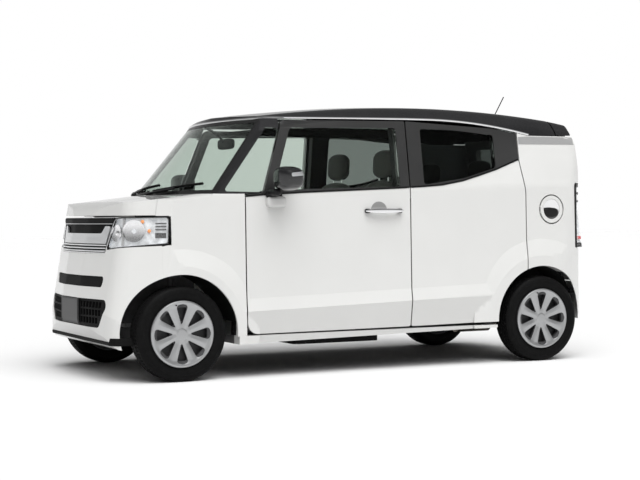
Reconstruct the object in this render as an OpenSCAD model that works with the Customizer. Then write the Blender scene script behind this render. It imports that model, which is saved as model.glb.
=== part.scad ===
// Small tall city car with four hinged doors, hood, tailgate, fuel lid, free wheels and steering.
// Millimetres. +X points forward, +Y to the left, +Z up, and the ground is at Z = 0.

/* [Overall] */
// Distance between the axles
wheelbase = 2520; // [2100:5:3024]
// Distance from the front axle to the nose
front_overhang = 447.5; // [420:2.5:540]
// Distance from the rear axle to the tail
rear_overhang = 427.5; // [400:2.5:520]
// Width over the wheel flares
overall_w = 1475; // [1340:5:1770]
// Height of the roof above the ground
overall_h = 1670; // [1560:5:2004]
// Height of the sill above the ground
sill_z = 205; // [170:5:246]
// Height of the hood at the foot of the windscreen
hood_z = 1095; // [1060:5:1130]
// Height of the belt line at mid length
belt_z = 1112; // [1080:5:1140]

/* [Panels] */
// Thickness of the outer skins
skin_t = 6; // [4:0.5:8]
// Thickness of a whole door
door_t = 50; // [42:1:56]
// Depth of the pillars behind the outer face
pillar_in = 66; // [62:1:72]
// Thickness of the pillars
pillar_t = 50; // [40:1:60]
// Thickness of the roof
roof_t = 40; // [30:1:46]
// Thickness of the tailgate
gate_t = 45; // [36:1:54]
// Thickness of the glass
glass_t = 5; // [4:0.5:6]
// Gap round a moving panel
shut_gap = 8; // [7:0.5:9.6]
// Gap between fixed pieces
seam = 0.3; // [0.25:0.05:0.36]
// Length of the front door
front_door_l = 1127; // [960:1:1200]
// Rise of the side creases towards the rear in degrees
crease_rise = 1.66; // [0:0.1:2]
// Depth of the side step at the creases
crease_step = 11; // [9:1:13]

/* [Wheels] */
// Tyre radius
tyre_r = 278; // [260:1:300]
// Tyre width
tyre_w = 155; // [135:1:165]
// Radius of the rim edge
rim_r = 190; // [180:1:205]
// Radius of the wheel arches beyond the tyre
arch_gap = 67; // [57:1:80]
// Number of wheel cover spokes
spokes = 8; // [6:1:9]
// Radius of the wheel spindles
spindle_r = 17; // [14:0.5:20]
// Number of wheel bolts
hub_bolts = 4; // [4:1:5]
// Bolt circle radius of the hub
bolt_circle_r = 50; // [46:0.5:54]

/* [Fits] */
// Radial clearance of a turning pin
pin_gap = 0.05; // [0.03:0.01:0.06]
// Radius of the door hinge pins
pin_r = 4; // [3.4:0.1:4.8]
// Radius of the hinge barrels
barrel_r = 6.5; // [6:0.1:7]
// Distance of a door hinge behind the leading edge of the door
hinge_back = 44; // [40:1:50]

/* [Plates] */
// Number plate length
plate_l = 330; // [300:5:340]
// Number plate height
plate_h = 165; // [140:5:170]
// Distance between the plate bolts
plate_bolts = 210; // [180:5:240]

/* [Hidden] */
$fn = 48;
X = 0;
Z = 1;
RAD = 2;
far = 4000;
overall_l = wheelbase + front_overhang + rear_overhang;
nose_x = overall_l / 2;
tail_x = -nose_x;
half_w = overall_w / 2;
front_axle_x = nose_x - front_overhang;
rear_axle_x = tail_x + rear_overhang;
axle_z = tyre_r;
arch_r = tyre_r + arch_gap;
wheel_y = half_w - tyre_w / 2 - 7;
door_front_x = front_axle_x - 408;
b_x = door_front_x - front_door_l;
rear_shut_x = rear_axle_x + 116;
door_bottom_z = sill_z + 54;
sill_top_z = sill_z + 46;
cowl_y = half_w - 128;
half_gap = shut_gap / 2;
lid_x = rear_axle_x - 85;
lid_z = 993;
lid_r = 90;

// The roof edge falls from behind the centre post to the rear axle
roof_fall = 82;
fall_x = b_x - 160;
rear_window_l = b_x - 104 - (rear_axle_x + 335);

// Windscreen: part of a leaning cylinder through its foot and head on the middle line
screen_x = front_axle_x - 70;
screen_z = hood_z - 5;
screen_top_x = front_axle_x - 460;
screen_top_z = overall_h - 122;
screen_lean = atan((screen_x - screen_top_x) / (screen_top_z - screen_z));
screen_r = 2200;
screen_foot_z = hood_z - 3;
screen_head_z = overall_h - 125;
screen_foot_y = half_w - 52;
screen_head_y = half_w - 150;

// Hinge lines
door_hinge_y = half_w - 35;
hinge_z = [430, 850];
hinge_h = 40;
ear_t = 6;
gate_top_x = tail_x + 62;
gate_hinge_x = gate_top_x + 189;
gate_hinge_z = overall_h - 101;
gate_hinge_y = 350;
plate_z = 790;
hood_hinge_x = front_axle_x - 165;
hood_hinge_z = hood_z - 55;
hood_hinge_y = half_w - 145;
hood_back = 45;
grille_back = 34;
lid_hinge_x = lid_x + lid_r - 8;
lid_hinge_y = half_w - 20.5;

// Steering: the kingpin leans in towards its top
kingpin_lean = 13;
kingpin_foot_y = wheel_y + 10;
column_lean = 28;
helm_x = front_axle_x - 700;
helm_y = -335;
helm_z = 945;

// Corner rows are [along, up, corner radius]
function unit(v) = v / norm(v);
function flat(row) = [row[X], row[Z]];
function corner_arc(p, q, s) =
    let (u = unit(flat(p) - flat(q)), v = unit(flat(s) - flat(q)), half = acos(u * v) / 2,
        c = flat(q) + unit(u + v) * q[RAD] / sin(half),
        a = flat(q) + u * q[RAD] / tan(half) - c, b = flat(q) + v * q[RAD] / tan(half) - c,
        a0 = atan2(a[Z], a[X]), turn = (atan2(b[Z], b[X]) - a0 + 540) % 360 - 180,
        n = max(2, ceil(abs(turn) / 11)))
    [for (i = [0 : n]) c + q[RAD] * [cos(a0 + turn * i / n), sin(a0 + turn * i / n)]];
function rounded(rows) =
    let (k = len(rows))
    [for (i = [0 : k - 1]) each rows[i][RAD] == 0 ? [flat(rows[i])]
        : corner_arc(rows[(i + k - 1) % k], rows[i], rows[(i + 1) % k])];
function inset(rows, t) =
    let (k = len(rows))
    [for (i = [0 : k - 1])
        let (d = unit(flat(rows[i]) - flat(rows[(i + k - 1) % k])),
            e = unit(flat(rows[(i + 1) % k]) - flat(rows[i])),
            m = [-d[Z] - e[Z], d[X] + e[X]] / (1 + d * e), left = d[X] * e[Z] - d[Z] * e[X])
        [rows[i][X] + m[X] * t, rows[i][Z] + m[Z] * t,
            rows[i][RAD] == 0 ? 0 : left > 0 ? max(rows[i][RAD] - t, 0) : rows[i][RAD] + t]];
function backward(rows) = [for (i = [len(rows) - 1 : -1 : 0]) rows[i]];
function both(rows) = concat(rows, [for (r = backward(rows)) if (r[X] != 0) [-r[X], r[Z], r[RAD]]]);
function roof_line(x) =
    overall_h - 112 - max(0, x - b_x) * 0.012 - roof_fall * pow(max(0, fall_x - x) / (fall_x - rear_axle_x - 60), 2);

// Height of the underside, which rises to the rear
function under_z(x) = sill_z - 15 + 55 * (nose_x - 85 - x) / (overall_l - 175);

// Rear slope of the roof
slope_top_x = tail_x + 747;
slope_top_z = overall_h + 20;
slope_foot_x = gate_top_x + 100;
slope_foot_z = overall_h - 109;
tail_slope = (slope_top_z - slope_foot_z) / (slope_top_x - slope_foot_x);
function tail_slope_z(x) = slope_foot_z + (x - slope_foot_x) * tail_slope;
antenna_x = rear_axle_x - 86;

// The nose leans back above the bumper
nose_lean = 9.5;
lean_z = 490;
function lean_x(z) = nose_x - (z - lean_z) * tan(nose_lean);

// Side outline of the whole body
side_rows = [
    [tail_x + 90, sill_z + 40, 60],
    [nose_x - 85, sill_z - 15, 60],
    [nose_x, 330, 90],
    [nose_x, lean_z, 300],
    [lean_x(hood_z - 95) - 2, hood_z - 95, 100],
    [nose_x - 165, hood_z - 43, 170],
    [screen_x + 60, hood_z, 0],
    [screen_top_x + 60, screen_head_z + 13, 0],
    [screen_top_x - 190, overall_h - 28, 300],
    [slope_top_x, slope_top_z, 0],
    [slope_foot_x, slope_foot_z, 30],
    [tail_x + 40, 1150, 900],
    [tail_x, 640, 250],
    [tail_x, 400, 100],
];

// Plan outline, left half from the nose to the tail
plan_half = [
    [nose_x, 190, 700],
    [nose_x - 52, half_w - 140, 150],
    [nose_x - 330, half_w - 10, 350],
    [front_axle_x - 60, half_w + 12, 0],
    [rear_axle_x + 60, half_w + 12, 0],
    [tail_x + 215, half_w - 10, 200],
    [tail_x + 45, half_w - 110, 110],
    [tail_x, 300, 800],
];
plan_rows = concat(plan_half, [for (r = backward(plan_half)) [r[X], -r[Z], r[RAD]]]);

// Plan outline of the leaning nose, left half
nose_plan_half = [
    [nose_x + 1, 150, 700],
    [nose_x - 69, half_w - 147, 150],
    [nose_x - 330, half_w - 10, 350],
    [front_axle_x - 60, half_w + 12, 0],
    [tail_x - 400, half_w + 12, 0],
];
nose_plan = concat(nose_plan_half, [for (r = backward(nose_plan_half)) [r[X], -r[Z], r[RAD]]]);

// Section of the sides at mid length: sill, lower and upper crease, belt, tumblehome
side_half = [
    [half_w - 111, -300, 0],
    [half_w - 1.5, 418, 0],
    [half_w - 1.5 - crease_step, 494, 0],
    [half_w - 24, belt_z, 350],
    [half_w - 96, 1560, 0],
    [half_w - 96 - (overall_h - 1270) * 0.16, overall_h + 290, 0],
];
side_section = both(side_half);

// Section of the roof, swept along a long arc
roof_arc_r = 8500;
roof_top_x = front_axle_x - 1700;
roof_half = [
    [half_w + 60, -200, 0],
    [half_w + 60, overall_h - 370, 0],
    [half_w - 40, overall_h - 190, 0],
    [half_w - 100, overall_h - 98, 60],
    [half_w - 165, overall_h - 30, 110],
    [0, overall_h + 10, 4000],
];
roof_section = both(roof_half);

// Section over the hood and fender tops
hood_drop = 7.1;
nose_half = [
    [half_w + 60, 300, 0],
    [half_w + 5, hood_z - 14, 90],
    [0, hood_z + 4, 3000],
];
nose_section = both(nose_half);

// Flares: [axle place, outer radius, inner radius]
flare_table = [
    [front_axle_x, 492, 392],
    [rear_axle_x, 522, 412],
];
FLARE_X = 0;
FLARE_OUT = 1;
FLARE_IN = 2;

// Outlines of the side panels, seen from the left side
front_door_rows = [
    [b_x + half_gap, door_bottom_z + 5, 12],
    [door_front_x - half_gap, door_bottom_z, 70],
    [door_front_x - half_gap, hood_z - 10, 10],
    [door_front_x - 118, hood_z, 40],
    [door_front_x - 276, roof_line(door_front_x - 276) - 8, 40],
    [b_x + half_gap, roof_line(b_x) - 8, 8],
];
rear_door_rows = [
    [b_x - half_gap, roof_line(b_x) - 8, 8],
    [rear_shut_x + 220, roof_line(rear_shut_x + 220) - 8, 200],
    [rear_shut_x + 39, roof_line(rear_shut_x + 39) - 8, 30],
    [rear_shut_x + 39, 1310, 60],
    [rear_shut_x + half_gap, 1110, 300],
    [rear_shut_x + half_gap, 560, 0],
    [rear_axle_x + arch_r - 20, door_bottom_z + 12, 0],
    [rear_axle_x + arch_r + 6, door_bottom_z + 12, 0],
    [b_x - half_gap, door_bottom_z + 5, 12],
];
front_window_rows = [
    [b_x + 70, belt_z + 26, 18],
    [door_front_x - 190, hood_z + 20, 14],
    [door_front_x - 322, overall_h - 178, 30],
    [b_x + 70, overall_h - 164, 18],
];
rear_window_rows = [
    [b_x - 104, overall_h - 166, 18],
    [b_x - 104 - rear_window_l * 0.46, overall_h - 170, min(400, rear_window_l * 0.75)],
    [rear_axle_x + 335, overall_h - 196, 20],
    [rear_axle_x + 335, belt_z + 150, 20],
    [b_x - 104 - rear_window_l * 0.56, belt_z + 82, min(300, rear_window_l * 0.6)],
    [b_x - 104, belt_z + 38, 18],
];
quarter_window_rows = [
    [front_axle_x - 269, hood_z + 11, 12],
    [front_axle_x - 570, overall_h - 180, 12],
    [front_axle_x - 658, overall_h - 180, 18],
    [door_front_x - 109, hood_z + 7, 12],
];
a_post_rows = [
    [door_front_x - 22, screen_foot_z + seam, 0],
    [front_axle_x - 100, screen_foot_z + seam, 0],
    [front_axle_x - 300, roof_line(front_axle_x - 300) - seam, 0],
    [door_front_x - 266, roof_line(door_front_x - 266) - seam, 0],
    [door_front_x - 108, hood_z + 4, 0],
];
quarter_rows = [
    [rear_shut_x - half_gap, 540, 0],
    [rear_shut_x - half_gap, 1110, 300],
    [rear_shut_x + 31, 1310, 60],
    [rear_shut_x + 31, roof_line(rear_shut_x + 31) - seam, 0],
    [rear_axle_x + 60, roof_line(rear_axle_x + 60) - seam, 0],
    [tail_x + 60, roof_line(rear_axle_x + 60) - seam, 0],
    [tail_x - 20, 700, 0],
    [rear_axle_x - 290, 690 + seam, 0],
    [rear_axle_x - 166, 605 + seam, 0],
    [rear_axle_x - 166, 540, 0],
];
roof_rows = [
    for (x = [gate_top_x + 209, gate_top_x + 300, rear_axle_x + 60])
        [x, roof_line(rear_axle_x + 60), 0],
    for (share = [0, 0.22, 0.5, 1])
        [rear_shut_x + 31 + (fall_x - rear_shut_x - 31) * share,
            roof_line(rear_shut_x + 31 + (fall_x - rear_shut_x - 31) * share), 0],
    for (x = [b_x, front_axle_x - 700, front_axle_x])
        [x, roof_line(x), 0],
    [front_axle_x, overall_h + 100, 0],
    [gate_top_x + 209, overall_h + 100, 0],
];
fender_rows = [
    [door_front_x + half_gap, sill_top_z + seam, 0],
    [front_axle_x, sill_top_z + seam, 0],
    [front_axle_x + 112, 600, 0],
    [front_axle_x + 112, 786, 0],
    [front_axle_x + 70, 797, 0],
    [front_axle_x + 70, hood_z - 131, 0],
    [nose_x, hood_z - 131, 0],
    [nose_x, hood_z - 60, 0],
    [front_axle_x - 100, hood_z - 3 - seam, 0],
    [door_front_x + half_gap, hood_z - 3 - seam, 0],
];
rear_bumper_rows = [
    [rear_axle_x - 166, 180, 0],
    [rear_axle_x - 166, 605, 0],
    [rear_axle_x - 290, 690, 0],
    [tail_x - 20, 700 - seam, 0],
    [tail_x - 20, 180, 0],
];
tail_lamp_rows = [
    [tail_x - 20, 735, 0],
    [tail_x + 118, 735, 14],
    [tail_x + 132, 1172, 30],
    [tail_x - 20, 1172, 0],
];

// Outlines seen from the front: [left, up, corner radius]
headlamp_rows = [
    [430, 768, 26],
    [half_w + 40, 800, 0],
    [half_w + 40, hood_z - 133, 0],
    [496, hood_z - 138, 22],
];
grille_half = [
    [418, 745, 18],
    [482, hood_z - 138, 16],
];
bumper_top_half = [
    [half_w + 40, 100, 0],
    [half_w + 40, 798, 0],
    [426, 766 - seam, 0],
    [414, 744, 0],
];
slot_half = [
    [436, 548, 22],
    [452, 612, 22],
];
intake_half = [
    [443, 312, 40],
    [562, 478, 40],
];
gate_half = [
    [588, 514, 40],
    [588, overall_h - 178, 10],
];
gate_opening_half = [
    [588 + shut_gap - 1, 507, 44],
    [588 + shut_gap - 1, overall_h + 100, 0],
];
gate_window_half = [
    [500, 1135, 50],
    [478, overall_h - 238, 50],
];
screen_half = [
    [screen_foot_y, screen_foot_z, 0],
    [screen_head_y, screen_head_z, 0],
];

// Hood outline from above, left half from the front to the rear
hood_half = [
    [nose_x + 20, half_w - 120, 0],
    [front_axle_x + 242, half_w - 90, 120],
    [front_axle_x + 170, half_w - 70, 200],
    [front_axle_x - 89, half_w - 74, 0],
    [front_axle_x - 180, half_w - 76, 0],
];
hood_rows = concat(hood_half, [for (r = backward(hood_half)) [r[X], -r[Z], r[RAD]]]);

module along_y(rows, length) {
    rotate([90, 0, 0])
        linear_extrude(length, center = true)
            polygon(rounded(rows));
}

// Prism through the left side only
module left_prism(rows) {
    translate([0, far, 0])
        rotate([90, 0, 0])
            linear_extrude(far)
                polygon(rounded(rows));
}

module along_x(rows, from, to) {
    translate([from, 0, 0])
        rotate([90, 0, 90])
            linear_extrude(to - from)
                polygon(rounded(rows));
}

module along_z(rows, from, to) {
    translate([0, 0, from])
        linear_extrude(to - from)
            polygon(rounded(rows));
}

module box(from, to) {
    translate(from)
        cube(to - from);
}

module bar_y(x, z, r, from, to) {
    translate([x, from, z])
        rotate([-90, 0, 0])
            cylinder(r = r, h = to - from);
}

module bar_z(x, y, r, from, to) {
    translate([x, y, from])
        cylinder(r = r, h = to - from);
}

// Everything farther from the middle plane than y
module outboard(y) {
    box([-far, y, -far], [far, far, far]);
    box([-far, -far, -far], [far, -y, far]);
}

module pair() {
    children();
    mirror([0, 1, 0])
        children();
}

module screen_cylinder(t) {
    translate([screen_x, 0, screen_z])
        rotate([0, -screen_lean, 0])
            translate([-screen_r, 0, 0])
                cylinder(r = screen_r - t, h = 2600, center = true, $fn = 240);
}

module roof_sweep(t) {
    translate([roof_top_x, 0, overall_h - roof_arc_r])
        rotate([90, 0, 0])
            rotate_extrude(angle = 36, start = 72, $fn = 360)
                polygon([for (p = rounded(inset(roof_section, t))) [p[Z] - overall_h + roof_arc_r, p[X]]]);
}

module side_walls(t) {
    rotate([0, crease_rise, 0])
        along_x(inset(side_section, t), tail_x - 100, nose_x + 100);
}

module flares() {
    for (f = flare_table) {
        for (side = [-1, 1]) {
            translate([f[FLARE_X], side * (half_w - 16), axle_z])
                rotate([-90 * side, 0, 0]) {
                    cylinder(r1 = f[FLARE_OUT], r2 = f[FLARE_IN], h = 16, $fn = 120);
                    translate([0, 0, -40])
                        cylinder(r = f[FLARE_OUT], h = 40, $fn = 120);
                }
        }
    }
}

// The whole body as a solid whose outside lies t inside the real outside
module body_block(t) {
    difference() {
        intersection() {
            along_y(inset(side_rows, t), far);
            along_z(inset(plan_rows, t), 0, far);
            translate([nose_x, 0, lean_z])
                rotate([0, -nose_lean, 0])
                    translate([-nose_x, 0, 0])
                        along_z(inset(nose_plan, t), -far, far);
            roof_sweep(t);
            union() {
                side_walls(t);
                if (t == 0) {
                    flares();
                }
            }
        }
        difference() {
            box([screen_top_x - 150, -far, screen_foot_z - t], [far, far, far]);
            screen_cylinder(t);
        }
        difference() {
            box([front_axle_x - 200, -far, 700], [far, far, screen_foot_z + 60]);
            translate([front_axle_x - 50, 0, hood_z])
                rotate([0, hood_drop, 0])
                    translate([0, 0, -hood_z])
                        along_x(inset(nose_section, t), -400, 800);
        }
    }
}

module shell(from, to) {
    difference() {
        body_block(from);
        body_block(to);
    }
}

// Side walls only, without roof, nose and tail
module wall(from, to) {
    difference() {
        side_walls(from);
        side_walls(to);
    }
}

module arch(x, grow) {
    bar_y(x, axle_z, arch_r + grow, 200, far, $fn = 96);
}

module floor_pan() {
    front_end = front_axle_x - arch_r - 10;
    rear_end = rear_axle_x + arch_r + 10;
    color("dimgray") {
        union() {
            intersection() {
                body_block(0);
                box([rear_end, -far, 0], [front_end, far, sill_top_z]);
            }
            pair() {
                intersection() {
                    wall(pillar_in + pillar_t + seam, pillar_in + pillar_t + 40);
                    box([rear_end + 10, 0, sill_top_z - 10], [door_front_x - 74, far, door_bottom_z + 70]);
                }
            }
            box([front_end - 10, -385, sill_z + 6], [front_axle_x - 190, 385, sill_top_z]);
            box([rear_end, -half_w + 140, sill_top_z - 10], [rear_end + 15, half_w - 140, 460]);
            box([rear_axle_x - 340, -425, 430], [rear_end + 10, 425, 460]);
            box([tail_x + 62, -580, 430], [rear_axle_x - 330, 580, 460]);
        }
    }
}

module post_hinges(x) {
    for (z = hinge_z) {
        for (s = [-1, 1]) {
            ear_z = z + s * (hinge_h / 2 + ear_t / 2 + 1);
            box([x - barrel_r, half_w - pillar_in - 25, ear_z - ear_t / 2],
                [x + barrel_r, door_hinge_y, ear_z + ear_t / 2]);
            bar_z(x, door_hinge_y, barrel_r, ear_z - ear_t / 2, ear_z + ear_t / 2);
        }
        bar_z(x, door_hinge_y, pin_r, z - hinge_h / 2 - 3, z + hinge_h / 2 + 3);
    }
}

// Hinge barrels that a door turns on, with the leaves to its inner box
module door_leaves(x) {
    for (z = hinge_z) {
        difference() {
            union() {
                bar_z(x, door_hinge_y, barrel_r, z - hinge_h / 2, z + hinge_h / 2);
                box([x - 30, door_hinge_y - 4, z - hinge_h / 2], [x, door_hinge_y + 2, z + hinge_h / 2]);
            }
            bar_z(x, door_hinge_y, pin_r + pin_gap, z - hinge_h, z + hinge_h);
        }
    }
}

module front_pillars() {
    color("black")
        difference() {
            union() {
                intersection() {
                    shell(0, door_t);
                    along_y(a_post_rows, far);
                    outboard(half_w - 200);
                }
                intersection() {
                    wall(pillar_in, pillar_in + pillar_t);
                    box([door_front_x - 70, -far, sill_top_z + seam], [door_front_x + 50, far, hood_z - 12]);
                }
                intersection() {
                    wall(skin_t + seam, pillar_in + pillar_t);
                    box([door_front_x + 30, -far, hood_z - 55], [front_axle_x - 240, far, hood_z + 6]);
                    outboard(cowl_y + seam);
                }
                pair()
                    post_hinges(door_front_x - half_gap - hinge_back);
            }
            along_y(quarter_window_rows, far);
            along_x(inset(both(screen_half), -seam), 500, far);
        }
}

module centre_pillars() {
    color("black")
        pair()
            union() {
                intersection() {
                    wall(pillar_in, pillar_in + pillar_t);
                    box([b_x - 68, 0, sill_top_z + seam], [b_x + 60, far, overall_h - 165 - seam]);
                }
                post_hinges(b_x - half_gap - hinge_back);
            }
}

module filler_pocket() {
    bar_y(lid_x, lid_z, lid_r + shut_gap, half_w - 58, far);
}

module quarter_panels() {
    color("white")
        union() {
            difference() {
                intersection() {
                    union() {
                        shell(0, door_t);
                        intersection() {
                            wall(0, pillar_in - seam);
                            pair()
                                difference() {
                                    arch(rear_axle_x, 9);
                                    arch(rear_axle_x, 0);
                                }
                        }
                    }
                    along_y(quarter_rows, far);
                }
                pair()
                    arch(rear_axle_x, 0);
                along_x(both(gate_opening_half), tail_x - 100, rear_axle_x - 200);
                along_y(inset(tail_lamp_rows, -seam), far);
                filler_pocket();
            }
            intersection() {
                wall(door_t - 6, door_t + 24);
                bar_y(lid_x, lid_z, lid_r + 12, 300, far);
            }
            lid_ears(0);
            bar_z(lid_hinge_x, lid_hinge_y, 2, lid_z - 20, lid_z + 20);
            bar_y(lid_x - 8, lid_z, 36, half_w - 90, half_w - 48);
        }
}

module roof() {
    rail_rows = [
        [rear_axle_x + 130, overall_h - 165, 0],
        [door_front_x - 250, overall_h - 165, 0],
        [door_front_x - 300, overall_h + 100, 0],
        [rear_axle_x + 130, overall_h + 100, 0],
    ];
    color("black")
        difference() {
            union() {
                intersection() {
                    shell(0, roof_t);
                    along_y(roof_rows, far);
                }
                intersection() {
                    shell(roof_t - 4, pillar_in + pillar_t);
                    along_y(rail_rows, far);
                    union() {
                        along_y(roof_rows, far);
                        intersection() {
                            side_walls(pillar_in);
                            roof_sweep(pillar_in);
                        }
                    }
                    outboard(half_w - 230);
                }
                for (side = [-1, 1]) {
                    for (s = [-1, 1]) {
                        translate([0, side * gate_hinge_y + s * 17, 0])
                            box([gate_hinge_x - 8, -5, gate_hinge_z - 12],
                                [gate_hinge_x + 34, 5, gate_hinge_z + 7]);
                    }
                    bar_y(gate_hinge_x, gate_hinge_z, pin_r - 1, side * gate_hinge_y - 18, side * gate_hinge_y + 18);
                }
            }
            along_x(inset(both(screen_half), -seam), 500, far);
        }
}

module windscreen() {
    color("lightcyan", 0.5)
        intersection() {
            difference() {
                screen_cylinder(0);
                screen_cylinder(glass_t);
            }
            along_x(both(screen_half), 500, far);
        }
}

module quarter_glass() {
    color("lightcyan", 0.5)
        intersection() {
            shell(8, 8 + glass_t);
            along_y(inset(quarter_window_rows, seam), far);
            outboard(half_w - 200);
        }
}

module firewall() {
    wall_x = front_axle_x - 210;
    color("dimgray")
        union() {
            box([wall_x, -cowl_y, 640], [wall_x + 22, cowl_y, hood_z - 20]);
            box([wall_x, -385, sill_top_z + seam], [wall_x + 22, 385, 650]);
            intersection() {
                screen_cylinder(4);
                box([wall_x, -cowl_y, hood_z - 29], [far, cowl_y, screen_foot_z - seam]);
            }
            for (side = [-1, 1]) {
                for (s = [-1, 1]) {
                    translate([0, side * hood_hinge_y + s * 15, 0])
                        box([wall_x + 15, -3, hood_hinge_z - 10], [hood_hinge_x + 8, 3, hood_hinge_z + 10]);
                }
                bar_y(hood_hinge_x, hood_hinge_z, pin_r, side * hood_hinge_y - 16, side * hood_hinge_y + 16);
            }
        }
}

module front_fenders() {
    color("white")
        difference() {
            intersection() {
                shell(0, skin_t);
                along_y(fender_rows, far);
                outboard(half_w - 320);
            }
            pair()
                arch(front_axle_x, 0);
            along_z(inset(hood_rows, -5), hood_z - 260, far);
            box([-far, -cowl_y - 60, hood_z - 260], [front_axle_x - 170, cowl_y + 60, far]);
            pair()
                along_x(inset(headlamp_rows, -seam), front_axle_x + 60, far);
        }
}

module wheel_liners() {
    color("black")
        pair() {
            intersection() {
                body_block(skin_t + seam);
                difference() {
                    arch(front_axle_x, 7);
                    arch(front_axle_x, 1);
                    strut_place()
                        cylinder(r = 76, h = far);
                }
                box([front_axle_x - 500, 400 + seam, axle_z + 60], [front_axle_x + 500, far, far]);
            }
            intersection() {
                body_block(pillar_in);
                union() {
                    difference() {
                        arch(rear_axle_x, 7);
                        arch(rear_axle_x, 1);
                    }
                    intersection() {
                        arch(rear_axle_x, 4);
                        box([rear_axle_x - 500, 425 + seam, 430], [rear_axle_x + 500, 432, far]);
                    }
                }
                box([rear_axle_x - 500, 425 + seam, axle_z + 60], [rear_axle_x + 500, far, far]);
            }
        }
}

module front_bumper() {
    color("white")
        difference() {
            intersection() {
                shell(0, skin_t);
                box([front_axle_x + 112 + seam, -far, 0], [far, far, far]);
                along_x(both(bumper_top_half), front_axle_x, far);
            }
            pair()
                arch(front_axle_x, 0);
            pair()
                along_x(inset(headlamp_rows, -seam), front_axle_x + 60, far);
            along_x(inset(both(grille_half), -seam), front_axle_x + 200, far);
            along_x(both(slot_half), front_axle_x + 200, far);
            along_x(both(intake_half), front_axle_x + 200, far);
        }
}

// Black inserts behind the slot and the intake, with a grid and a blank plate board
module lower_grille() {
    cell = 40;
    bar = 9;
    color("black")
        union() {
            difference() {
                intersection() {
                    shell(skin_t + seam, skin_t + 16);
                    along_x(inset(both(intake_half), -12), front_axle_x + 200, far);
                }
                for (row = [0 : 2]) {
                    for (col = [-13 : 13]) {
                        if (abs(col) * cell > plate_l / 2 + 14 && abs(col) * cell < 410 + row * 32) {
                            box([front_axle_x, col * cell - (cell - bar) / 2, 334 + row * 46],
                                [far, col * cell + (cell - bar) / 2, 334 + row * 46 + 36]);
                        }
                    }
                }
                for (s = [-1, 1]) {
                    translate([front_axle_x, s * plate_bolts / 2, 452])
                        rotate([0, 90, 0])
                            cylinder(r = 3.3, h = far);
                }
            }
            intersection() {
                shell(skin_t + seam, skin_t + 16);
                along_x(inset(both(slot_half), -12), front_axle_x + 200, far);
            }
        }
}

module grille() {
    slats = 5;
    color("silver")
        difference() {
            intersection() {
                shell(4, grille_back);
                along_x(both(grille_half), front_axle_x + 200, far);
            }
            for (i = [0 : slats - 1]) {
                along_x(both([[400 + i * 7, 766 + i * 24, 5], [404 + i * 7, 780 + i * 24, 5]]),
                    front_axle_x + 200, far);
            }
            along_x(both([[446, 892, 8], [462, 926, 8]]), front_axle_x + 200, nose_x - 64);
        }
}

module headlamps() {
    color("gainsboro")
        intersection() {
            shell(0, 60);
            pair()
                along_x(headlamp_rows, front_axle_x + 71, far);
        }
}

module engine() {
    color("gray")
        union() {
            box([front_axle_x - 130, -300, 300 + seam], [front_axle_x + 210, 320, 760]);
            box([front_axle_x - 90, -200, 755], [front_axle_x + 150, 240, 880]);
        }
}

// Rails, aprons and strut towers
module front_frame() {
    rear = front_axle_x - 188 + seam;
    color("dimgray")
        union() {
            pair() {
                box([rear, 330, 330], [nose_x - 110, 386, 430]);
                intersection() {
                    box([rear, 386, 400], [front_axle_x + 320, 400, hood_z - 260]);
                    body_block(grille_back + seam);
                }
                box([front_axle_x - 95, 386, hood_z - 300], [front_axle_x + 95, 560, hood_z - 260]);
            }
            box([nose_x - 140, -386, 330], [nose_x - 110, 386, 430]);
            box([nose_x - 200, -386, 700], [nose_x - 150, 386, 730]);
            pair()
                box([nose_x - 200, 350, 420], [nose_x - 150, 386, 730]);
        }
}

// Placed on the left kingpin with its foot at the ground
module strut_place() {
    translate([front_axle_x, kingpin_foot_y, 0])
        rotate([kingpin_lean, 0, 0])
            children();
}

module front_suspension() {
    tower_z = hood_z - 300 - seam;
    color("dimgray")
        union() {
            box([front_axle_x - 120, -400, 230], [front_axle_x + 180, 400, 300]);
            pair() {
                box([front_axle_x - 110, 330, 290], [front_axle_x - 60, 386, 330 - seam]);
                difference() {
                    union() {
                        along_z([[front_axle_x + 130, 380, 10], [front_axle_x + 25, 610, 24],
                            [front_axle_x - 25, 610, 24], [front_axle_x - 110, 380, 10]], 168, 186);
                        box([front_axle_x - 110, 380, 168], [front_axle_x + 130, 400, 240]);
                    }
                    bar_z(front_axle_x, 480, 45, 100, 300);
                }
                intersection() {
                    strut_place()
                        cylinder(r = 9, h = 214);
                    box([front_axle_x - 50, 400, 172], [front_axle_x + 50, 700, 300]);
                }
            }
        }
    color("dimgray")
        pair()
            intersection() {
                strut_place()
                    difference() {
                        cylinder(r = 66, h = far);
                        cylinder(r = 40, h = far);
                    }
                box([front_axle_x - 100, 300, 600], [front_axle_x + 100, 700, tower_z]);
            }
}

module knuckle_left() {
    color("gray")
        difference() {
            union() {
                box([front_axle_x - 45, 556, axle_z - 86], [front_axle_x + 45, 606, axle_z + 80]);
                bar_y(front_axle_x, axle_z, 62, 600, wheel_y - 29);
                bar_y(front_axle_x, axle_z, spindle_r, 600, wheel_y + 32);
                intersection() {
                    strut_place()
                        cylinder(r = 19, h = far);
                    box([front_axle_x - 50, 400, axle_z + 40], [front_axle_x + 50, 700, hood_z - 360]);
                }
                intersection() {
                    strut_place()
                        cylinder(r = 24, h = far);
                    box([front_axle_x - 50, 400, axle_z - 86], [front_axle_x + 50, 700, axle_z - 66]);
                }
            }
            strut_place()
                cylinder(r = 9 + pin_gap, h = 222);
        }
}

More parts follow.
